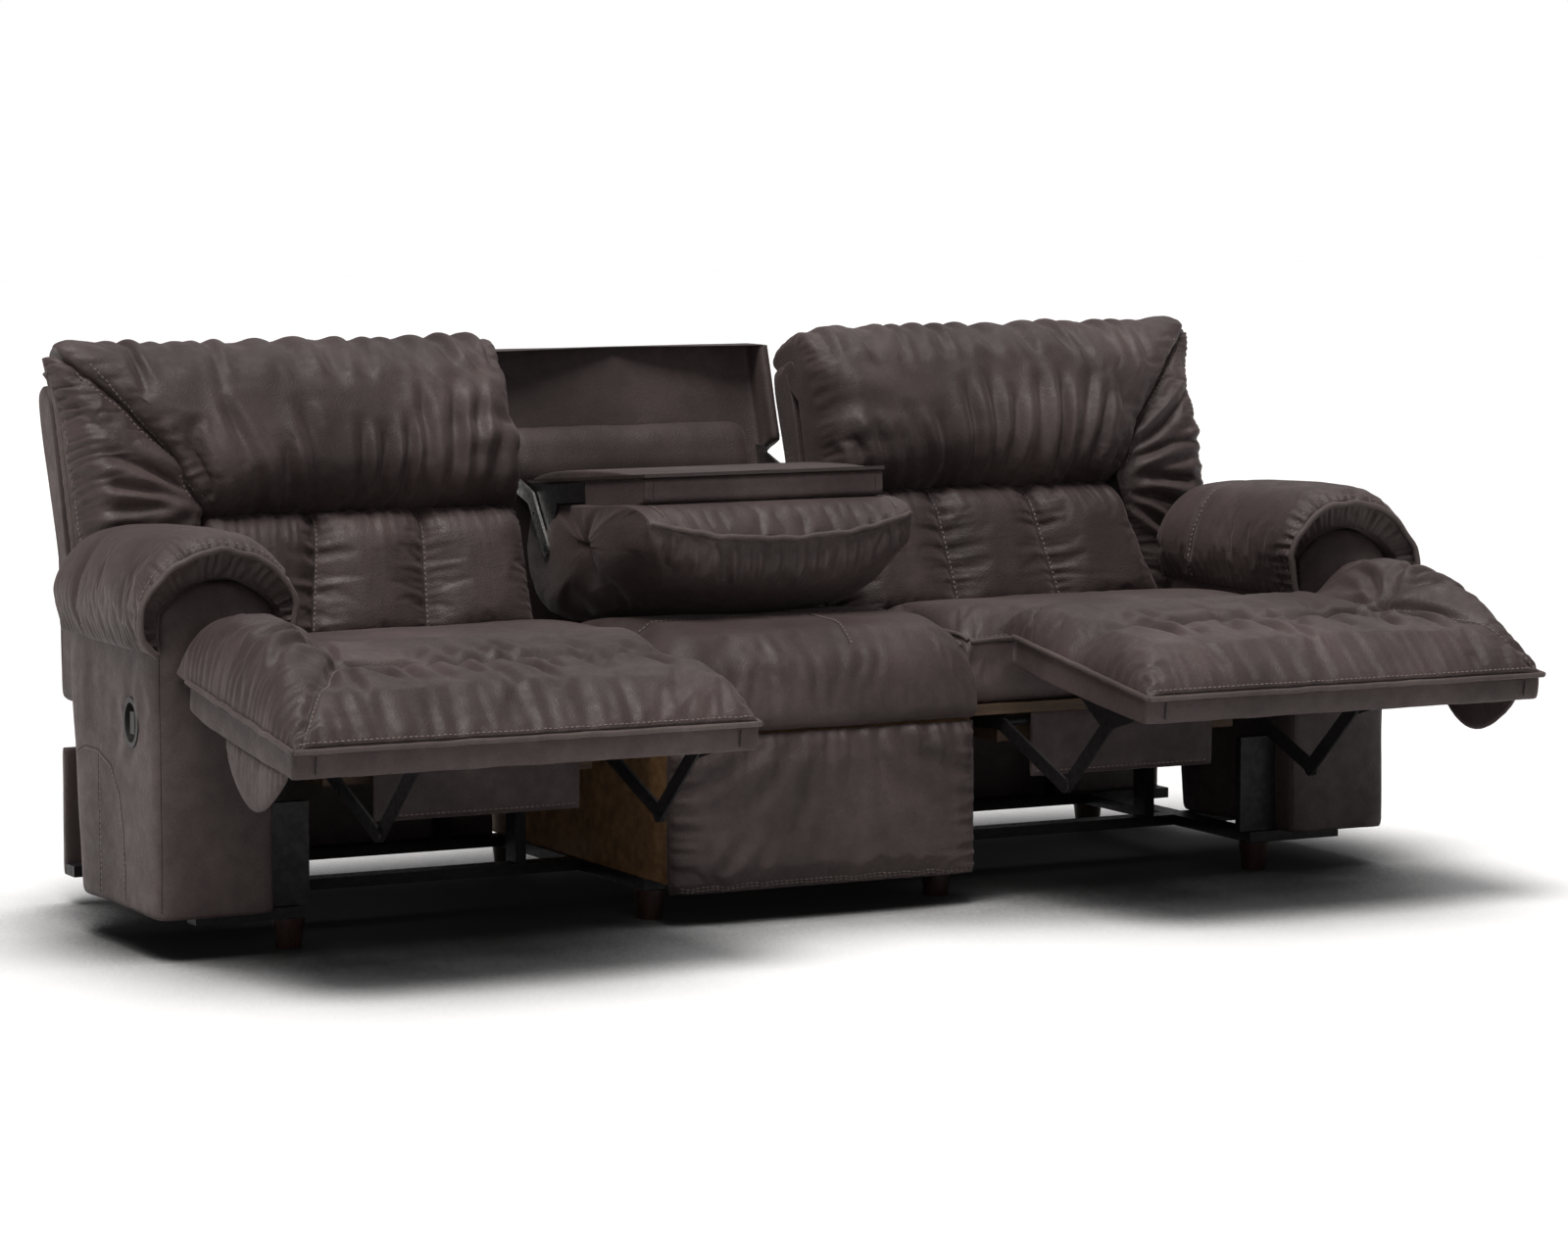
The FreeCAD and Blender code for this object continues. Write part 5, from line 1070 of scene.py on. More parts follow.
def make_arm_pad(name, side, seed):
    y0, y1, drape = ARM_PAD_FRONT, ARM_PAD_REAR, ARM_PAD_DRAPE
    turn = math.asin(100.0 / ARM_RADIUS)
    arc = 2 * ARM_RADIUS * turn
    total = arc + 2 * drape

    def frame_at(u):
        """A point of the arm's arched section and its outward direction, from inner side to outer side."""
        run = u * total
        if run < drape:
            return (ARM_INNER, ARM_TOP - drape + run), (-1.0, 0.0)
        if run > total - drape:
            return (ARM_OUTER, ARM_TOP - (run - (total - drape))), (1.0, 0.0)
        angle = (run - drape) / ARM_RADIUS - turn
        nx, nz = math.sin(angle), math.cos(angle)
        return ((ARM_INNER + ARM_OUTER) / 2 + ARM_RADIUS * nx,
                ARM_TOP + ARM_ARCH - ARM_RADIUS + ARM_RADIUS * nz), (nx, nz)

    normals = {}

    def normal_at(u):
        """The direction blended round the corners between side and arch, so that the loops don't cross."""
        if u not in normals:
            near = [frame_at(min(max(u + k * 0.05, 0.0), 1.0))[1] for k in (-2, -1, 0, 1, 2)]
            nx, nz = sum(n[0] for n in near), sum(n[1] for n in near)
            normals[u] = nx / math.hypot(nx, nz), nz / math.hypot(nx, nz)
        return normals[u]

    def lip(u):
        """Height of the front welt: an ear at the outer side, then an arch down to the inner side."""
        both_ends = 27.0 * ease(0.0, 0.42, min(u, 1 - u))
        return 15.0 + both_ends + 12.0 * ease(0.62, 0.92, u) - 8.0 * ease(0.93, 1.0, u)

    def crown(u, v):
        high = table_of(((y0, 62), (30, 66), (110, 66), (250, 60), (360, 52), (447, 42)), v)
        across = (0.17 + 0.83 * ease(0.0, 0.40, min(u, 1 - u))) * edge_round(min(u, 1 - u) * total + 1, 16.0)
        cross = 1 - 0.09 * math.exp(-((v - ARM_PAD_SEAM) / 12.0) ** 2)
        return high * across * cross

    def welt_height(u):
        return lip(u) * edge_round(min(u, 1 - u) * total + 1, 22.0)

    def height(u, t):
        if t < 0:
            return max(welt_height(u) * (1 + t), 1.5)
        v = y0 + (y1 - y0) * t
        front = edge_round(v - y0 + 0.5, 62.0, 2.2)
        start = welt_height(u)
        return max((start + (crown(u, v) - start) * front) * edge_round(y1 - v + 0.5, 46.0, 2.4), 1.5)

    def place(u, t, h):
        (x, z), _ = frame_at(u)
        nx, nz = normal_at(u)
        v = y0 - 11.0 * t if t < 0 else y0 + (y1 - y0) * t
        if t >= 0:
            v -= 7.0 * (1 - ease(0, 60, v - y0))
        else:
            v -= 7.0 * (1 + t) ** 2
        return (x + nx * (h + 1.2), v, z + nz * (h + 1.2))
    us = spread(0.0, 1.0, 104, 0.2)
    ts = np.concatenate([np.linspace(-1.0, -0.12, 9), spread(0.0, 1.0, 112, 0.4)])
    item, index = pad(name + "_arm_cushion", us, ts, place, height, side)
    grid = grid_of(item, index)
    near_front = 1 - smoothstep(0.0, 0.45, ts[None, :])
    ahead = (ts[None, :] >= 0) * 1.0
    field = gathers(grid, 1, 9, 16.0, 5.2, 44.0, seed, ahead)
    field += gathers(grid, 1, 9, 19.0, 6.0, 60.0, seed + 1, 1 - ahead)
    field += gathers(grid, 0, -1, 26.0, 2.8, 60.0, seed + 2, 0.4 * ahead + 0.6 * near_front * ahead)
    field += gathers(grid, 0, 0, 24.0, 2.8, 50.0, seed + 4, 0.4 * ahead + 0.6 * near_front * ahead)
    push(item, index, field)
    points = get_points(item)
    tip = np.array(place(ARM_PAD_EAR, 0.0, lip(ARM_PAD_EAR)))
    share = np.exp(-(np.linalg.norm(points - mirror(tip, side), axis=1) / ARM_EAR_SIZE) ** 2)
    set_points(item, points + share[:, None] * mirror(ARM_EAR_PUSH, side))
    weights = hold_rim(item, index)
    weights[index[:, 9]] = 0.7
    puff(item, weights, 4.0, -0.03, 9.0)
    rim = np.array([place(u, 0.0, height(u, 0.0) + 0.5) for u in np.linspace(0.0, 1.0, 90)])
    shift = np.exp(-(np.linalg.norm(rim - tip, axis=1) / ARM_EAR_SIZE) ** 2)
    rim = rim + shift[:, None] * np.array(ARM_EAR_PUSH)
    cross = (ARM_PAD_SEAM - y0) / (y1 - y0)
    seam = [place(u, cross, height(u, cross)) for u in np.linspace(0.02, 0.98, 70)]
    return item, rim, seam


# Middle section.
def cross_seam(half, count):
    """The bowed seam across the console's seat."""
    return [(x, 150 - 14 * (x / 280) ** 2, 484) for x in np.linspace(-half, half, count)]


def make_console_seat(seed):
    half = 287.0
    corners = ((-44, 319.5), (430, 319.5), (452, 335), (454, 400), (440, 436), (395, 462), (280, 478),
               (150, 484), (50, 481), (-18, 466), (-54, 434), (-68, 388), (-64, 334))
    counts = (22, 4, 5, 4, 5, 8, 9, 8, 7, 7, 7, 7, 4)
    loops = []
    for x in spread(-half, half, 110, 0.6):
        loop = curve_loop(corners, counts)
        crown = edge_round(half + x + 0.5, 66.0, 2.3) * edge_round(half - x + 0.5, 66.0, 2.3)
        loop[:, 1] -= (1 - crown) * 40.0 * smoothstep(340, 470, loop[:, 1])
        ahead = 1 - smoothstep(-55, 20, loop[:, 0])
        loop[:, 0] += (1 - crown) * 12.0 * ahead * smoothstep(330, 400, loop[:, 1])
        loops.append(upright(loop, x))
    item, _ = lofted("console_seat_pad", loops, 1, 2.0)
    rumple(item, 3.2, 90.0, seed)
    points = get_points(item)
    field = np.zeros(len(points))
    rng = random.Random(seed)
    for _ in range(16):
        x = rng.uniform(-190, 160)
        z = rng.uniform(440, 474)
        tall = rng.uniform(50, 110)
        path = [(x, -30, z), (x + rng.uniform(-16, 16), -60, z - tall * 0.5),
                (x + rng.uniform(-34, 34), -64, z - tall)]
        field += crease(points, path, rng.uniform(7, 11), rng.uniform(2.6, 5.0))
    for _ in range(9):
        x, y = rng.uniform(-170, 170), rng.uniform(-10, 190)
        path = [(x, y, 484), (x + rng.uniform(-40, 40), y + 24, 484), (x + rng.uniform(-80, 80), y + 44, 484)]
        field += crease(points, path, 9.0, 3.2)
    field += crease(points, cross_seam(278, 24), 7.0, 4.0)
    field += crease(points, [(60, y, 486) for y in np.linspace(-30, 150, 12)], 5.0, 3.0)
    push_all(item, field)
    weights = np.zeros(len(points))
    weights[points[:, 2] < 352] = 1.0
    puff(item, weights, 4.0, -0.02, 8.0)
    return item


def make_front_panel(seed):
    half = 290.0

    def place(u, v, h):
        return (u, -35.0 - h, v)

    def height(u, v):
        edge = (edge_round(min(u + half, half - u) + 0.5, 46.0, 2.2) * edge_round(v - 49.5, 22.0, 2.0)
                     * edge_round(320 - v, 26.0, 2.0))
        return 6.0 + 25.0 * edge
    us, vs = spread(-half, half, 110, 0.5), spread(318, 51, 66, 0.5)
    item, index = pad("console_front_pad", us, vs, place, height)
    grid = grid_of(item, index)
    field = gathers(grid, 1, 0, 40.0, 4.2, 80.0, seed) + gathers(grid, 0, -1, 34.0, 2.6, 50.0, seed + 1)
    field += gathers(grid, 0, 0, 34.0, 2.6, 50.0, seed + 2)
    push(item, index, field)
    points = get_points(item)
    field = np.zeros(len(points))
    for x, dx, down in ((-60, -110, 130), (-20, -50, 170), (20, 36, 150), (60, 120, 120), (-120, -160, 90),
                        (110, 160, 80), (-5, -8, 110)):
        path = [(x, -58, 306), (x + dx * 0.4, -62, 306 - down * 0.5), (x + dx, -62, 306 - down)]
        field += crease(points, path, 14.0, 5.0)
    for x, dx in ((-220, 60), (-150, 46), (200, -50)):
        path = [(x, -60, 66), (x + dx * 0.4, -62, 100), (x + dx, -62, 150)]
        field += crease(points, path, 12.0, 3.4)
    push_all(item, field)
    puff(item, hold_rim(item, index), 3.0, -0.02, 7.0)
    return item


def shell_y(z):
    return 700.0 + max(z - 670.0, 0.0) * SHELL_LEAN


def make_shell(seed):
    """The middle's rear panel with its two upright side wings, w thick, at a from the middle plane."""
    a, w = 290.0, 18.0
    loops = []
    for z in list(spread(69, 660, 40, 0.3)) + list(spread(672, 925, 40, 0.5)):
        y = shell_y(z)
        top = edge_round(926.5 - z, 14.0, 2.0)
        reach = 58.0 * float(smoothstep(728, 758, z)) + 1.0
        t = 16.0 * (0.35 + 0.65 * top)
        front, back = y + 0.6, y + 16.0 + t
        corners = [(-a + 3, back - 3), (-a, back - 10), (-a, y - reach + 6), (-a + w / 2, y - reach),
                   (-a + w, y - reach + 6), (-a + w + 1, front - 5), (-a + w + 8, front),
                   (a - w - 8, front), (a - w - 1, front - 5), (a - w, y - reach + 6), (a - w / 2, y - reach),
                   (a, y - reach + 6), (a, back - 10), (a - 3, back - 3), (a - 12, back), (-a + 12, back)]
        if reach < 8:
            corners = [(-a + 3, back - 3), (-a, back - 10), (-a, y + 6), (-a + 3, y + 1.5),
                       (-a + w, y + 0.8), (-a + w + 1, y + 0.7), (-a + w + 8, front),
                       (a - w - 8, front), (a - w - 1, y + 0.7), (a - w, y + 0.8), (a - 3, y + 1.5),
                       (a, y + 6), (a, back - 10), (a - 3, back - 3), (a - 12, back), (-a + 12, back)]
        loop = curve_loop(corners, (2, 6, 3, 3, 6, 3, 26, 3, 6, 3, 3, 6, 2, 3, 26, 3))
        loops.append(level(loop, z))
    item, _ = lofted("middle_rear_panel", loops)
    rumple(item, 1.0, 120.0, seed)
    return item


def make_bolster(seed):
    half, middle = 235.0, 737.0
    corners = ((0, 692), (20, 682), (34, 698), (40, 720), (39, 742), (34, 765), (22, 782), (8, 787), (0, 780),
               (0, 735))
    loops = []
    for x in spread(-half, half, 76, 0.6):
        end = edge_round(half + x + 1, 38.0) * edge_round(half - x + 1, 38.0)
        loop = curve_loop(corners, (4, 5, 5, 5, 5, 5, 5, 3, 5, 5))
        loop[:, 1] = middle + (loop[:, 1] - middle) * (0.72 + 0.28 * end)
        loop[:, 0] = loop[:, 0] * (0.45 + 0.55 * end)
        loops.append(np.array([(x, shell_y(z) - 1.2 - a, z) for a, z in loop]))
    item, _ = lofted("table_head_roll", loops, 1, 2.0)
    rumple(item, 2.0, 60.0, seed)
    return item


def make_table_core():
    half = 228.0
    corners = ((3, 6.3), (470, 6.3), (477, 12), (477, 30), (476, 46), (468, 50), (3, 50))
    loops = []
    for x in spread(-half, half, 60, 0.8):
        edge = edge_round(half + x + 1, 8.0) * edge_round(half - x + 1, 8.0)
        loop = curve_loop(corners, (20, 4, 5, 5, 4, 20, 6))
        loop[:, 1] = 28 + (loop[:, 1] - 28) * (0.86 + 0.14 * edge)
        loops.append(np.array([on_table(x, a, u) for a, u in loop]))
    item, _ = lofted("table_padded_box", loops)
    return item


def make_fold_cushion(seed):
    hinge = np.array([489.0, 590.0])
    sin_tilt, cos_tilt = math.sin(TABLE_TILT), math.cos(TABLE_TILT)
    rel_y, rel_z = hinge[0] - TABLE_REAR[0], hinge[1] - TABLE_REAR[1]
    hinge_along = -rel_y * cos_tilt + rel_z * sin_tilt
    hinge_under = -rel_y * sin_tilt - rel_z * cos_tilt
    base, roll, half = 51.0, 119.0, 255.0
    loops, lip = [], []
    for x in spread(-half, half, 130, 0.45):
        share = abs(x / half)
        end = edge_round(half + x + 1, 60.0, 2.2) * edge_round(half - x + 1, 60.0, 2.2)
        r = roll - (1 - end) * 24.0
        along0 = hinge_along - math.sqrt(max(r * r - (hinge_under - base) ** 2, 1.0))
        face = hinge_under + r
        far = 556.0 - 14.0 * share ** 2.4 - (1 - end) * 18.0
        lip_under = base + 66.0 - 36.0 * share ** 2.2
        low = face - 16.0 - 44.0 * share ** 2.2
        start = math.atan2(base - hinge_under, along0 - hinge_along) % (2 * math.pi)
        arc = [(hinge_along + r * math.cos(t), hinge_under + r * math.sin(t))
               for t in np.linspace(start, math.pi / 2, 7)]
        corners = arc + [(hinge_along + (far - hinge_along) * 0.42, face + 3.0 - 30.0 * share ** 2.2),
                         (far - 110, low), (far - 48, low - 30), (far - 12, lip_under + 42),
                         (far - 3, lip_under + 9), (far, lip_under), (far - 8, lip_under - 12),
                         (far - 46, base + 14 - 8 * share), (far - 88, base + 1), (far - 240, base)]
        counts = (5, 5, 5, 5, 5, 5, 9, 9, 7, 8, 5, 3, 3, 7, 5, 7, 12)
        loops.append(np.array([on_table(x, a, u) for a, u in curve_loop(corners, counts)]))
        lip.append(on_table(x, far + 1.5, lip_under))
    item, _ = lofted("folding_back_pad", loops, 1, 2.0)
    points = get_points(item)
    field = np.zeros(len(points))
    rng = random.Random(seed)
    for k in range(30):
        x = -238 + k * 16.4 + rng.uniform(-4, 4)
        share = abs(x / half)
        top = base + 74.0 - 36.0 * share ** 2.2
        deep = rng.uniform(50, 120) * (1 - 0.35 * share)
        turn = rng.uniform(-14, 6)
        path = [on_table(x, 553 - 14 * share ** 2.4, top), on_table(x + turn * 0.4, 545, top + deep * 0.4),
                on_table(x + turn, 520, top + deep)]
        field += crease(points, path, rng.uniform(5.5, 8.5), rng.uniform(4.0, 7.5))
    for k in range(9):
        x = -200 + k * 50 + rng.uniform(-14, 14)
        path = [on_table(x, 548, base + 58), on_table(x + rng.uniform(-10, 10), 520, base + 28),
                on_table(x + rng.uniform(-18, 18), 490, base + 6)]
        field += crease(points, path, 9.0, 3.0)
    push_all(item, field)
    weights = np.zeros(len(points))
    rest_along = -(points[:, 1] - TABLE_REAR[0]) * cos_tilt + (points[:, 2] - TABLE_REAR[1]) * sin_tilt
    rest_under = -(points[:, 1] - TABLE_REAR[0]) * sin_tilt - (points[:, 2] - TABLE_REAR[1]) * cos_tilt
    weights[(rest_under < base + 12) & (rest_along < 500)] = 1.0
    puff(item, weights, 4.0, -0.03, 9.0)
    return item, lip


def wavy(path, sway, seed, turns=(9, 15, 23)):
    """A path that wavers up and down, as a welt does where fabric is gathered into it."""
    rng = random.Random(seed)
    path = np.array(path, dtype=float)
    t = np.linspace(0, 1, len(path))
    lift = sum(np.sin(t * math.pi * k + rng.uniform(0, 6.28)) / len(turns) for k in turns) * sway
    path[:, 2] += lift * np.sin(t * math.pi) ** 0.5
    return path


def trim_back(name, side):
    body = name + "_back"
    for path in lumbar_lines[name]:
        seam_line(soft[name, "lumbar"], body, path, (5.0,), side)
    # The diagonal seam between pillow and wing, doubly stitched on the pillow's side.
    diagonal = [on_back(BACK_OUTER - table_of(PILLOW_EDGE, v) + 3.0, -100, v)
                for v in np.linspace(352, 596, 70)]
    for kind, beside in (("pillow", -12.0), ("wing", 9.0)):
        stitch_row(soft[name, kind], body, [(x + beside, y, z) for x, y, z in diagonal], side)
    # The gathered flange along the outer edge.
    flange = [on_back(BACK_OUTER + 1.0, SOFT - 9.0, v) for v in np.linspace(92, 560, 120)]
    flange += [on_back(BACK_OUTER + 1.0 + 17.0 * t, SOFT - 9.0 - 14.0 * t, 560 + 36 * t)
               for t in np.linspace(0.08, 1.0, 10)]
    line = np.array(flange)
    rng = random.Random(17 if side > 0 else 29)
    line[:, 0] += waves(np.linspace(0, 520, len(line)), 23.0, rng.randint(0, 999)) * 2.2
    trim(body, "welt").tube(smooth_path(mirror(line, side)), 5.2, 9)
    row = [on_back(BACK_OUTER - 7.0, SOFT - 34.0, v) for v in np.linspace(96, 585, 110)]
    stitch_row(soft[name, "wing"], body, row, side)


def trim_arm(name, side):
    pad_item, box_item = soft[name, "arm_pad"], soft[name, "arm"]
    rim = wavy(arm_rims[name], 4.0, 5 if side > 0 else 8, (8, 13, 21))
    rim[:, 1] -= 4.0
    trim("base", "welt").tube(smooth_path(mirror(rim, side)), 5.6, 9)
    row = [(x, y + 14.0, z + 8.0) for x, y, z in arm_rims[name][4:-4]]
    stitch_row(pad_item, "base", row, side)
    seam_line(pad_item, "base", arm_seams[name], (5.0,), side)
    # Low on the outer side a curved seam runs down from the rear, and a stitched line drops from it.
    curve = [(ARM_OUTER + 4, y, z) for y, z in ((372, 300), (330, 316), (270, 316), (215, 296), (176, 250),
                                                (160, 190), (156, 130), (156, 80))]
    seam_line(box_item, "base", curve, (-5.0,), side)
    drop = [(ARM_OUTER + 4, 268, z) for z in np.linspace(308, 80, 20)]
    seam_line(box_item, "base", drop, (5.0,), side)
    for x in (ARM_OUTER - 1, ARM_INNER + 1):
        seam_line(box_item, "base", [(x, 3, z) for z in np.linspace(520, 80, 40)], (), side)


def trim_seat(name, side):
    body, item = name + "_seat", soft[name, "seat"]
    for x in (312.0, 953.0):
        edge = [(x, y, 452.0) for y in np.linspace(14, 372, 50)]
        seam_line(item, body, edge, (), side, 4.2)
    front = [(x, 10, 448) for x in np.linspace(318, 948, 80)]
    seam_line(item, body, front, (6.0,), side, 4.2)
    stitch_row(soft[name, "apron"], body, [(x, 0, 213) for x in np.linspace(438, 794, 50)], side)


def trim_console():
    seat, panel = soft["console", "seat"], soft["console", "panel"]
    seam_line(seat, "base", cross_seam(276, 70), (5.0,))
    seam_line(seat, "base", [(60, y, 486) for y in np.linspace(-52, 148, 30)], (-5.0,))
    for x in (-279, 279):
        path = [(x, y, 446) for y in np.linspace(-30, 420, 60)]
        seam_line(seat, "base", path, (), 1, 4.0)
    for z in (62, 68):
        stitch_row(panel, "base", [(x, -56, z) for x in np.linspace(-278, 278, 90)])
    cushion = soft["fold", "cushion"]
    lip = wavy(fold_lip[3:-3], 3.0, 12)
    trim("folding_back", "welt").tube(smooth_path(lip), 5.0, 9)
    for x in (-226.0, 226.0):
        path = [on_table(x, a, 52.0) for a in np.linspace(470, 545, 16)]
        seam_line(cushion, "folding_back", path, (4.0,))
    core = soft["fold", "core"]
    for x in (-214.0, 214.0):
        path = [on_table(x, 479, u) for u in np.linspace(10, 46, 12)]
        seam_line(core, "folding_back", path, ())
        path = [on_table(x, a, 51) for a in np.linspace(470, 260, 30)]
        seam_line(core, "folding_back", path, ())


def make_low_panel(name, side, seed):
    """The upholstered board that closes the base behind an outer seat."""
    x0, x1, middle, z0, z1 = 296.0, 1095.0, 666.0, 50.0, 269.0
    loops = []
    for x in spread(x0, x1, 50, 0.7):
        edge = edge_round(x - x0 + 1, 7.0) * edge_round(x1 + 1 - x, 7.0)
        deep = 6.4 * (0.6 + 0.4 * edge)
        corners = [(middle - deep + 1, z0 + 6), (middle - deep, z0 + 60), (middle - deep, z1 - 60),
                   (middle - deep + 1, z1 - 6), (middle, z1), (middle + deep - 1, z1 - 6),
                   (middle + deep, z1 - 60), (middle + deep, z0 + 60), (middle + deep - 1, z0 + 6),
                   (middle, z0)]
        loop = curve_loop(corners, (6, 10, 6, 3, 3, 6, 10, 6, 3, 3))
        loops.append(upright(loop, x))
    item, _ = lofted(name + "_low_rear_cover", loops, side)
    rumple(item, 1.0, 120.0, seed)
    return item


# Build every piece, let the cloth settle once, then add the trims on the settled surfaces.
soft = {}
lumbar_lines, arm_rims, arm_seams = {}, {}, {}
for name, side in SIDES:
    seed = 3 if side > 0 else 41
    soft[name, "pad"], soft[name, "board"] = make_footrest(name, side, seed)
    soft[name, "flap"] = make_flap(name, side, seed + 1)
    soft[name, "seat"] = make_seat(name, side, seed + 2)
    soft[name, "apron"] = make_apron(name, side, seed + 3)
    soft[name, "lumbar"], lumbar_lines[name] = make_lumbar(name, side, seed + 4)
    soft[name, "pillow"] = make_pillow(name, side, seed + 5)
    soft[name, "wing"] = make_wing(name, side, seed + 6)
    soft[name, "cover"] = make_back_shell(name, side, seed + 7)
    soft[name, "low_panel"] = make_low_panel(name, side, seed + 10)
    soft[name, "arm"] = make_arm(name, side, seed + 8)
    soft[name, "arm_pad"], arm_rims[name], arm_seams[name] = make_arm_pad(name, side, seed + 9)
soft["console", "seat"] = make_console_seat(71)
soft["console", "panel"] = make_front_panel(72)
soft["console", "shell"] = make_shell(73)
soft["console", "bolster"] = make_bolster(74)
soft["fold", "core"] = make_table_core()
soft["fold", "cushion"], fold_lip = make_fold_cushion(76)

run_cloth()

# What each soft piece rides on and replaces, and its fill.
SIDE_SOFT = (
    ("pad", "{}_footrest", "{}_footrest_pad", 0.85), ("flap", "{}_footrest", "{}_footrest_flap", 0.4),
    ("seat", "{}_seat", "{}_seat_cushion", 0.9), ("apron", "{}_seat", "{}_front_apron", 0.6),
    ("lumbar", "{}_back", "{}_lumbar_cushion", 0.85), ("pillow", "{}_back", "{}_head_pillow", 0.8),
    ("wing", "{}_back", "{}_back_wing", 0.7), ("cover", "{}_back", "{}_back_cover", 0.8),
    ("low_panel", "base", "lower_rear_panels", 0.9), ("arm", "base", "{}_arm_cover", 0.9),
    ("arm_pad", "base", "{}_arm_pad", 0.85),
)
MIDDLE_SOFT = (
    ("console", "seat", "base", "console_seat_cushion", 0.9),
    ("console", "panel", "base", "console_front_panel", 0.7),
    ("console", "shell", "base", "rear_shell", 0.8),
    ("console", "bolster", "base", "table_bolster", 0.8),
    ("fold", "core", "folding_back", "table_core", 0.8),
    ("fold", "cushion", "folding_back", "folding_back_cushion", 0.85),
)
SMOOTH_ONCE = ("pad", "lumbar", "pillow", "wing", "arm_pad", "seat", "cushion", "panel")
for (owner, kind), item in soft.items():
    if kind in SMOOTH_ONCE:
        subdivide(item)
for name, side in SIDES:
    trim_footrest(name, side, soft[name, "pad"])
    for kind, body, node, fill in SIDE_SOFT:
        finish_soft(soft[name, kind], body.format(name), node.format(name))
    # The side flap's root and tip are worked out, and the flap gets a mesh of its own.
    root, tip = (mirror(on_board(FLAP_X, 0.0, FLAP_TOP + above), side) for above in (0.0, 100.0))
    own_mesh(soft[name, "flap"])
    trim_back(name, side)
    trim_arm(name, side)
    trim_seat(name, side)
for owner, kind, body, node, fill in MIDDLE_SOFT:
    finish_soft(soft[owner, kind], body, node)

trim_console()

TRIM_MATERIALS = {"welt": WELT, "stitch": THREAD, "seam": SEAM}
for (body, kind), bundle in trims.items():
    item = bundle.make(body + "_" + kind + "_lines", TRIM_MATERIALS[kind])
    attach(item, body)


# Floor, light and camera. The floor's colour carries painted shade: it darkens from FLOOR_PALE to FLOOR_DARK
# as the open share of the space over it falls from the second of FLOOR_OPEN to the first.
FLOOR_HALF, FLOOR_PALE, FLOOR_DARK, FLOOR_OPEN = 30000, 0.80, 0.004, (0.54, 0.90)
FLOOR_GLOW, SHADE_REACH, SHADE_SAMPLES = 0.27, 0.5, 12
WORLD_LIGHT, WHITE, LAMP_COLOR = (0.165, 0.16, 0.165, 1.0), (1.0, 1.0, 1.0, 1.0), (1.0, 0.985, 0.965)
LENS, SENSOR = 116.3, 36.0
CAMERA_PLACE, CAMERA_DOWN, CAMERA_TURN = (-3.962, -7.6824, 1.360), 5.87, -27.43
# Name, kind, place, target, power and size: an angle for a sun, a diameter for an area.
LAMPS = (
    ("key_light", "SUN", (-1.3, -1.2, 5.4), (0.0, 0.0, 0.4), 3.0, 26.0),
    ("rim_light", "SUN", (2.0, 2.2, 3.6), (0.0, 0.0, 0.4), 0.45, 50.0),
    ("fill_light", "AREA", (-2.6, -4.6, 1.9), (0.0, 0.0, 0.5), 17.0, 2.6),
)


def camera_share(nodes, links):
    """1 for what the camera sees directly or through glass, and 0 for the light on the object."""
    path = nodes.new("ShaderNodeLightPath")
    larger = nodes.new("ShaderNodeMath")
    larger.operation = "MAXIMUM"
    links.new(path.outputs["Is Camera Ray"], larger.inputs[0])
    links.new(path.outputs["Is Transmission Ray"], larger.inputs[1])
    return larger.outputs[0]


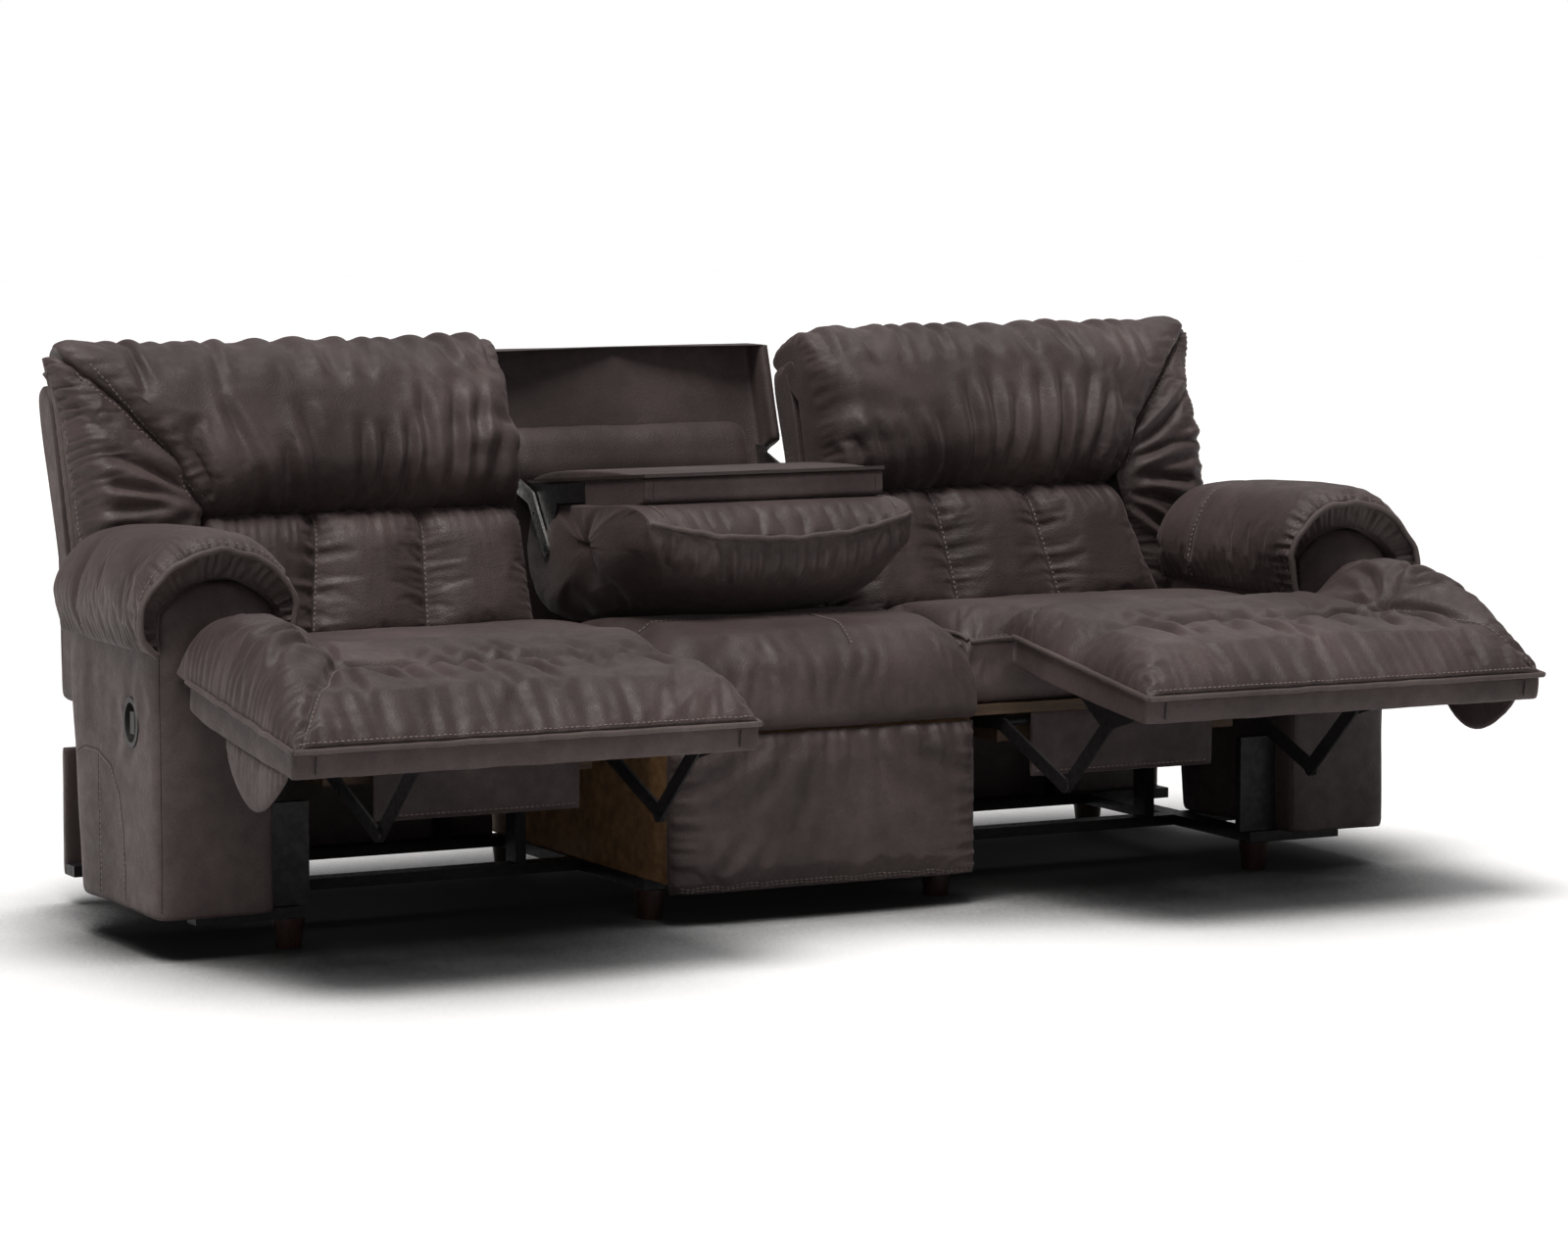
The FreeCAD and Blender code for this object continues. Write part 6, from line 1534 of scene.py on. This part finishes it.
floor_mat, floor_nodes, floor_links, floor_shader = new_material("pale_floor")
floor_shader.inputs["Roughness"].default_value = 0.9
# Painted contact shade: an Ambient Occlusion node darkens the floor's colour, and its glow to the camera,
# near and under the sofa.
painted_contact_shade = floor_nodes.new("ShaderNodeAmbientOcclusion")
painted_contact_shade.inputs["Distance"].default_value = SHADE_REACH
painted_contact_shade.samples = SHADE_SAMPLES
floor_tone_with_painted_shade = ramp_node(floor_nodes, floor_links, painted_contact_shade.outputs["AO"],
                   tuple((place, (tone,) * 3) for place, tone in zip(FLOOR_OPEN, (FLOOR_DARK, FLOOR_PALE))))
floor_links.new(floor_tone_with_painted_shade, floor_shader.inputs["Base Color"])
glow = floor_nodes.new("ShaderNodeEmission")
strength = floor_nodes.new("ShaderNodeMath")
strength.operation = "MULTIPLY"
strength.inputs[1].default_value = FLOOR_GLOW
floor_links.new(floor_tone_with_painted_shade, glow.inputs["Color"])
floor_links.new(camera_share(floor_nodes, floor_links), strength.inputs[0])
floor_links.new(strength.outputs[0], glow.inputs["Strength"])
both = floor_nodes.new("ShaderNodeAddShader")
floor_links.new(floor_shader.outputs[0], both.inputs[0])
floor_links.new(glow.outputs[0], both.inputs[1])
floor_links.new(both.outputs[0], floor_nodes["Material Output"].inputs["Surface"])
floor_corners = [(x * FLOOR_HALF, y * FLOOR_HALF, 0) for x, y in ((-1, -1), (1, -1), (1, 1), (-1, 1))]
floor = mesh_object("studio_floor", floor_corners, [(0, 1, 2, 3)], floor_mat, False)

world = bpy.data.worlds.new("studio")
bpy.context.scene.world = world
world.use_nodes = True
world_nodes, world_links = world.node_tree.nodes, world.node_tree.links
background = world_nodes["Background"]
shade = world_nodes.new("ShaderNodeMix")
shade.data_type = "RGBA"
shade.inputs["A"].default_value = WORLD_LIGHT
shade.inputs["B"].default_value = WHITE
world_links.new(camera_share(world_nodes, world_links), shade.inputs["Factor"])
world_links.new(shade.outputs["Result"], background.inputs["Color"])
background.inputs["Strength"].default_value = 1.0


def lamp(name, kind, location, target, power, size):
    data = bpy.data.lights.new(name, kind)
    data.energy = power
    data.color = LAMP_COLOR
    if kind == "SUN":
        data.angle = math.radians(size)
    else:
        data.shape = "DISK"
        data.size = size
    item = bpy.data.objects.new(name, data)
    bpy.context.scene.collection.objects.link(item)
    item.location = location
    item.rotation_euler = (Vector(target) - Vector(location)).to_track_quat("-Z", "Y").to_euler()


for settings in LAMPS:
    lamp(*settings)

camera_data = bpy.data.cameras.new("view")
camera_data.lens = LENS
camera_data.sensor_width = SENSOR
camera = bpy.data.objects.new("view", camera_data)
bpy.context.scene.collection.objects.link(camera)
camera.location = CAMERA_PLACE
camera.rotation_euler = (math.radians(90 - CAMERA_DOWN), 0.0, math.radians(CAMERA_TURN))
bpy.context.scene.camera = camera
bpy.context.scene.view_settings.view_transform = "Standard"
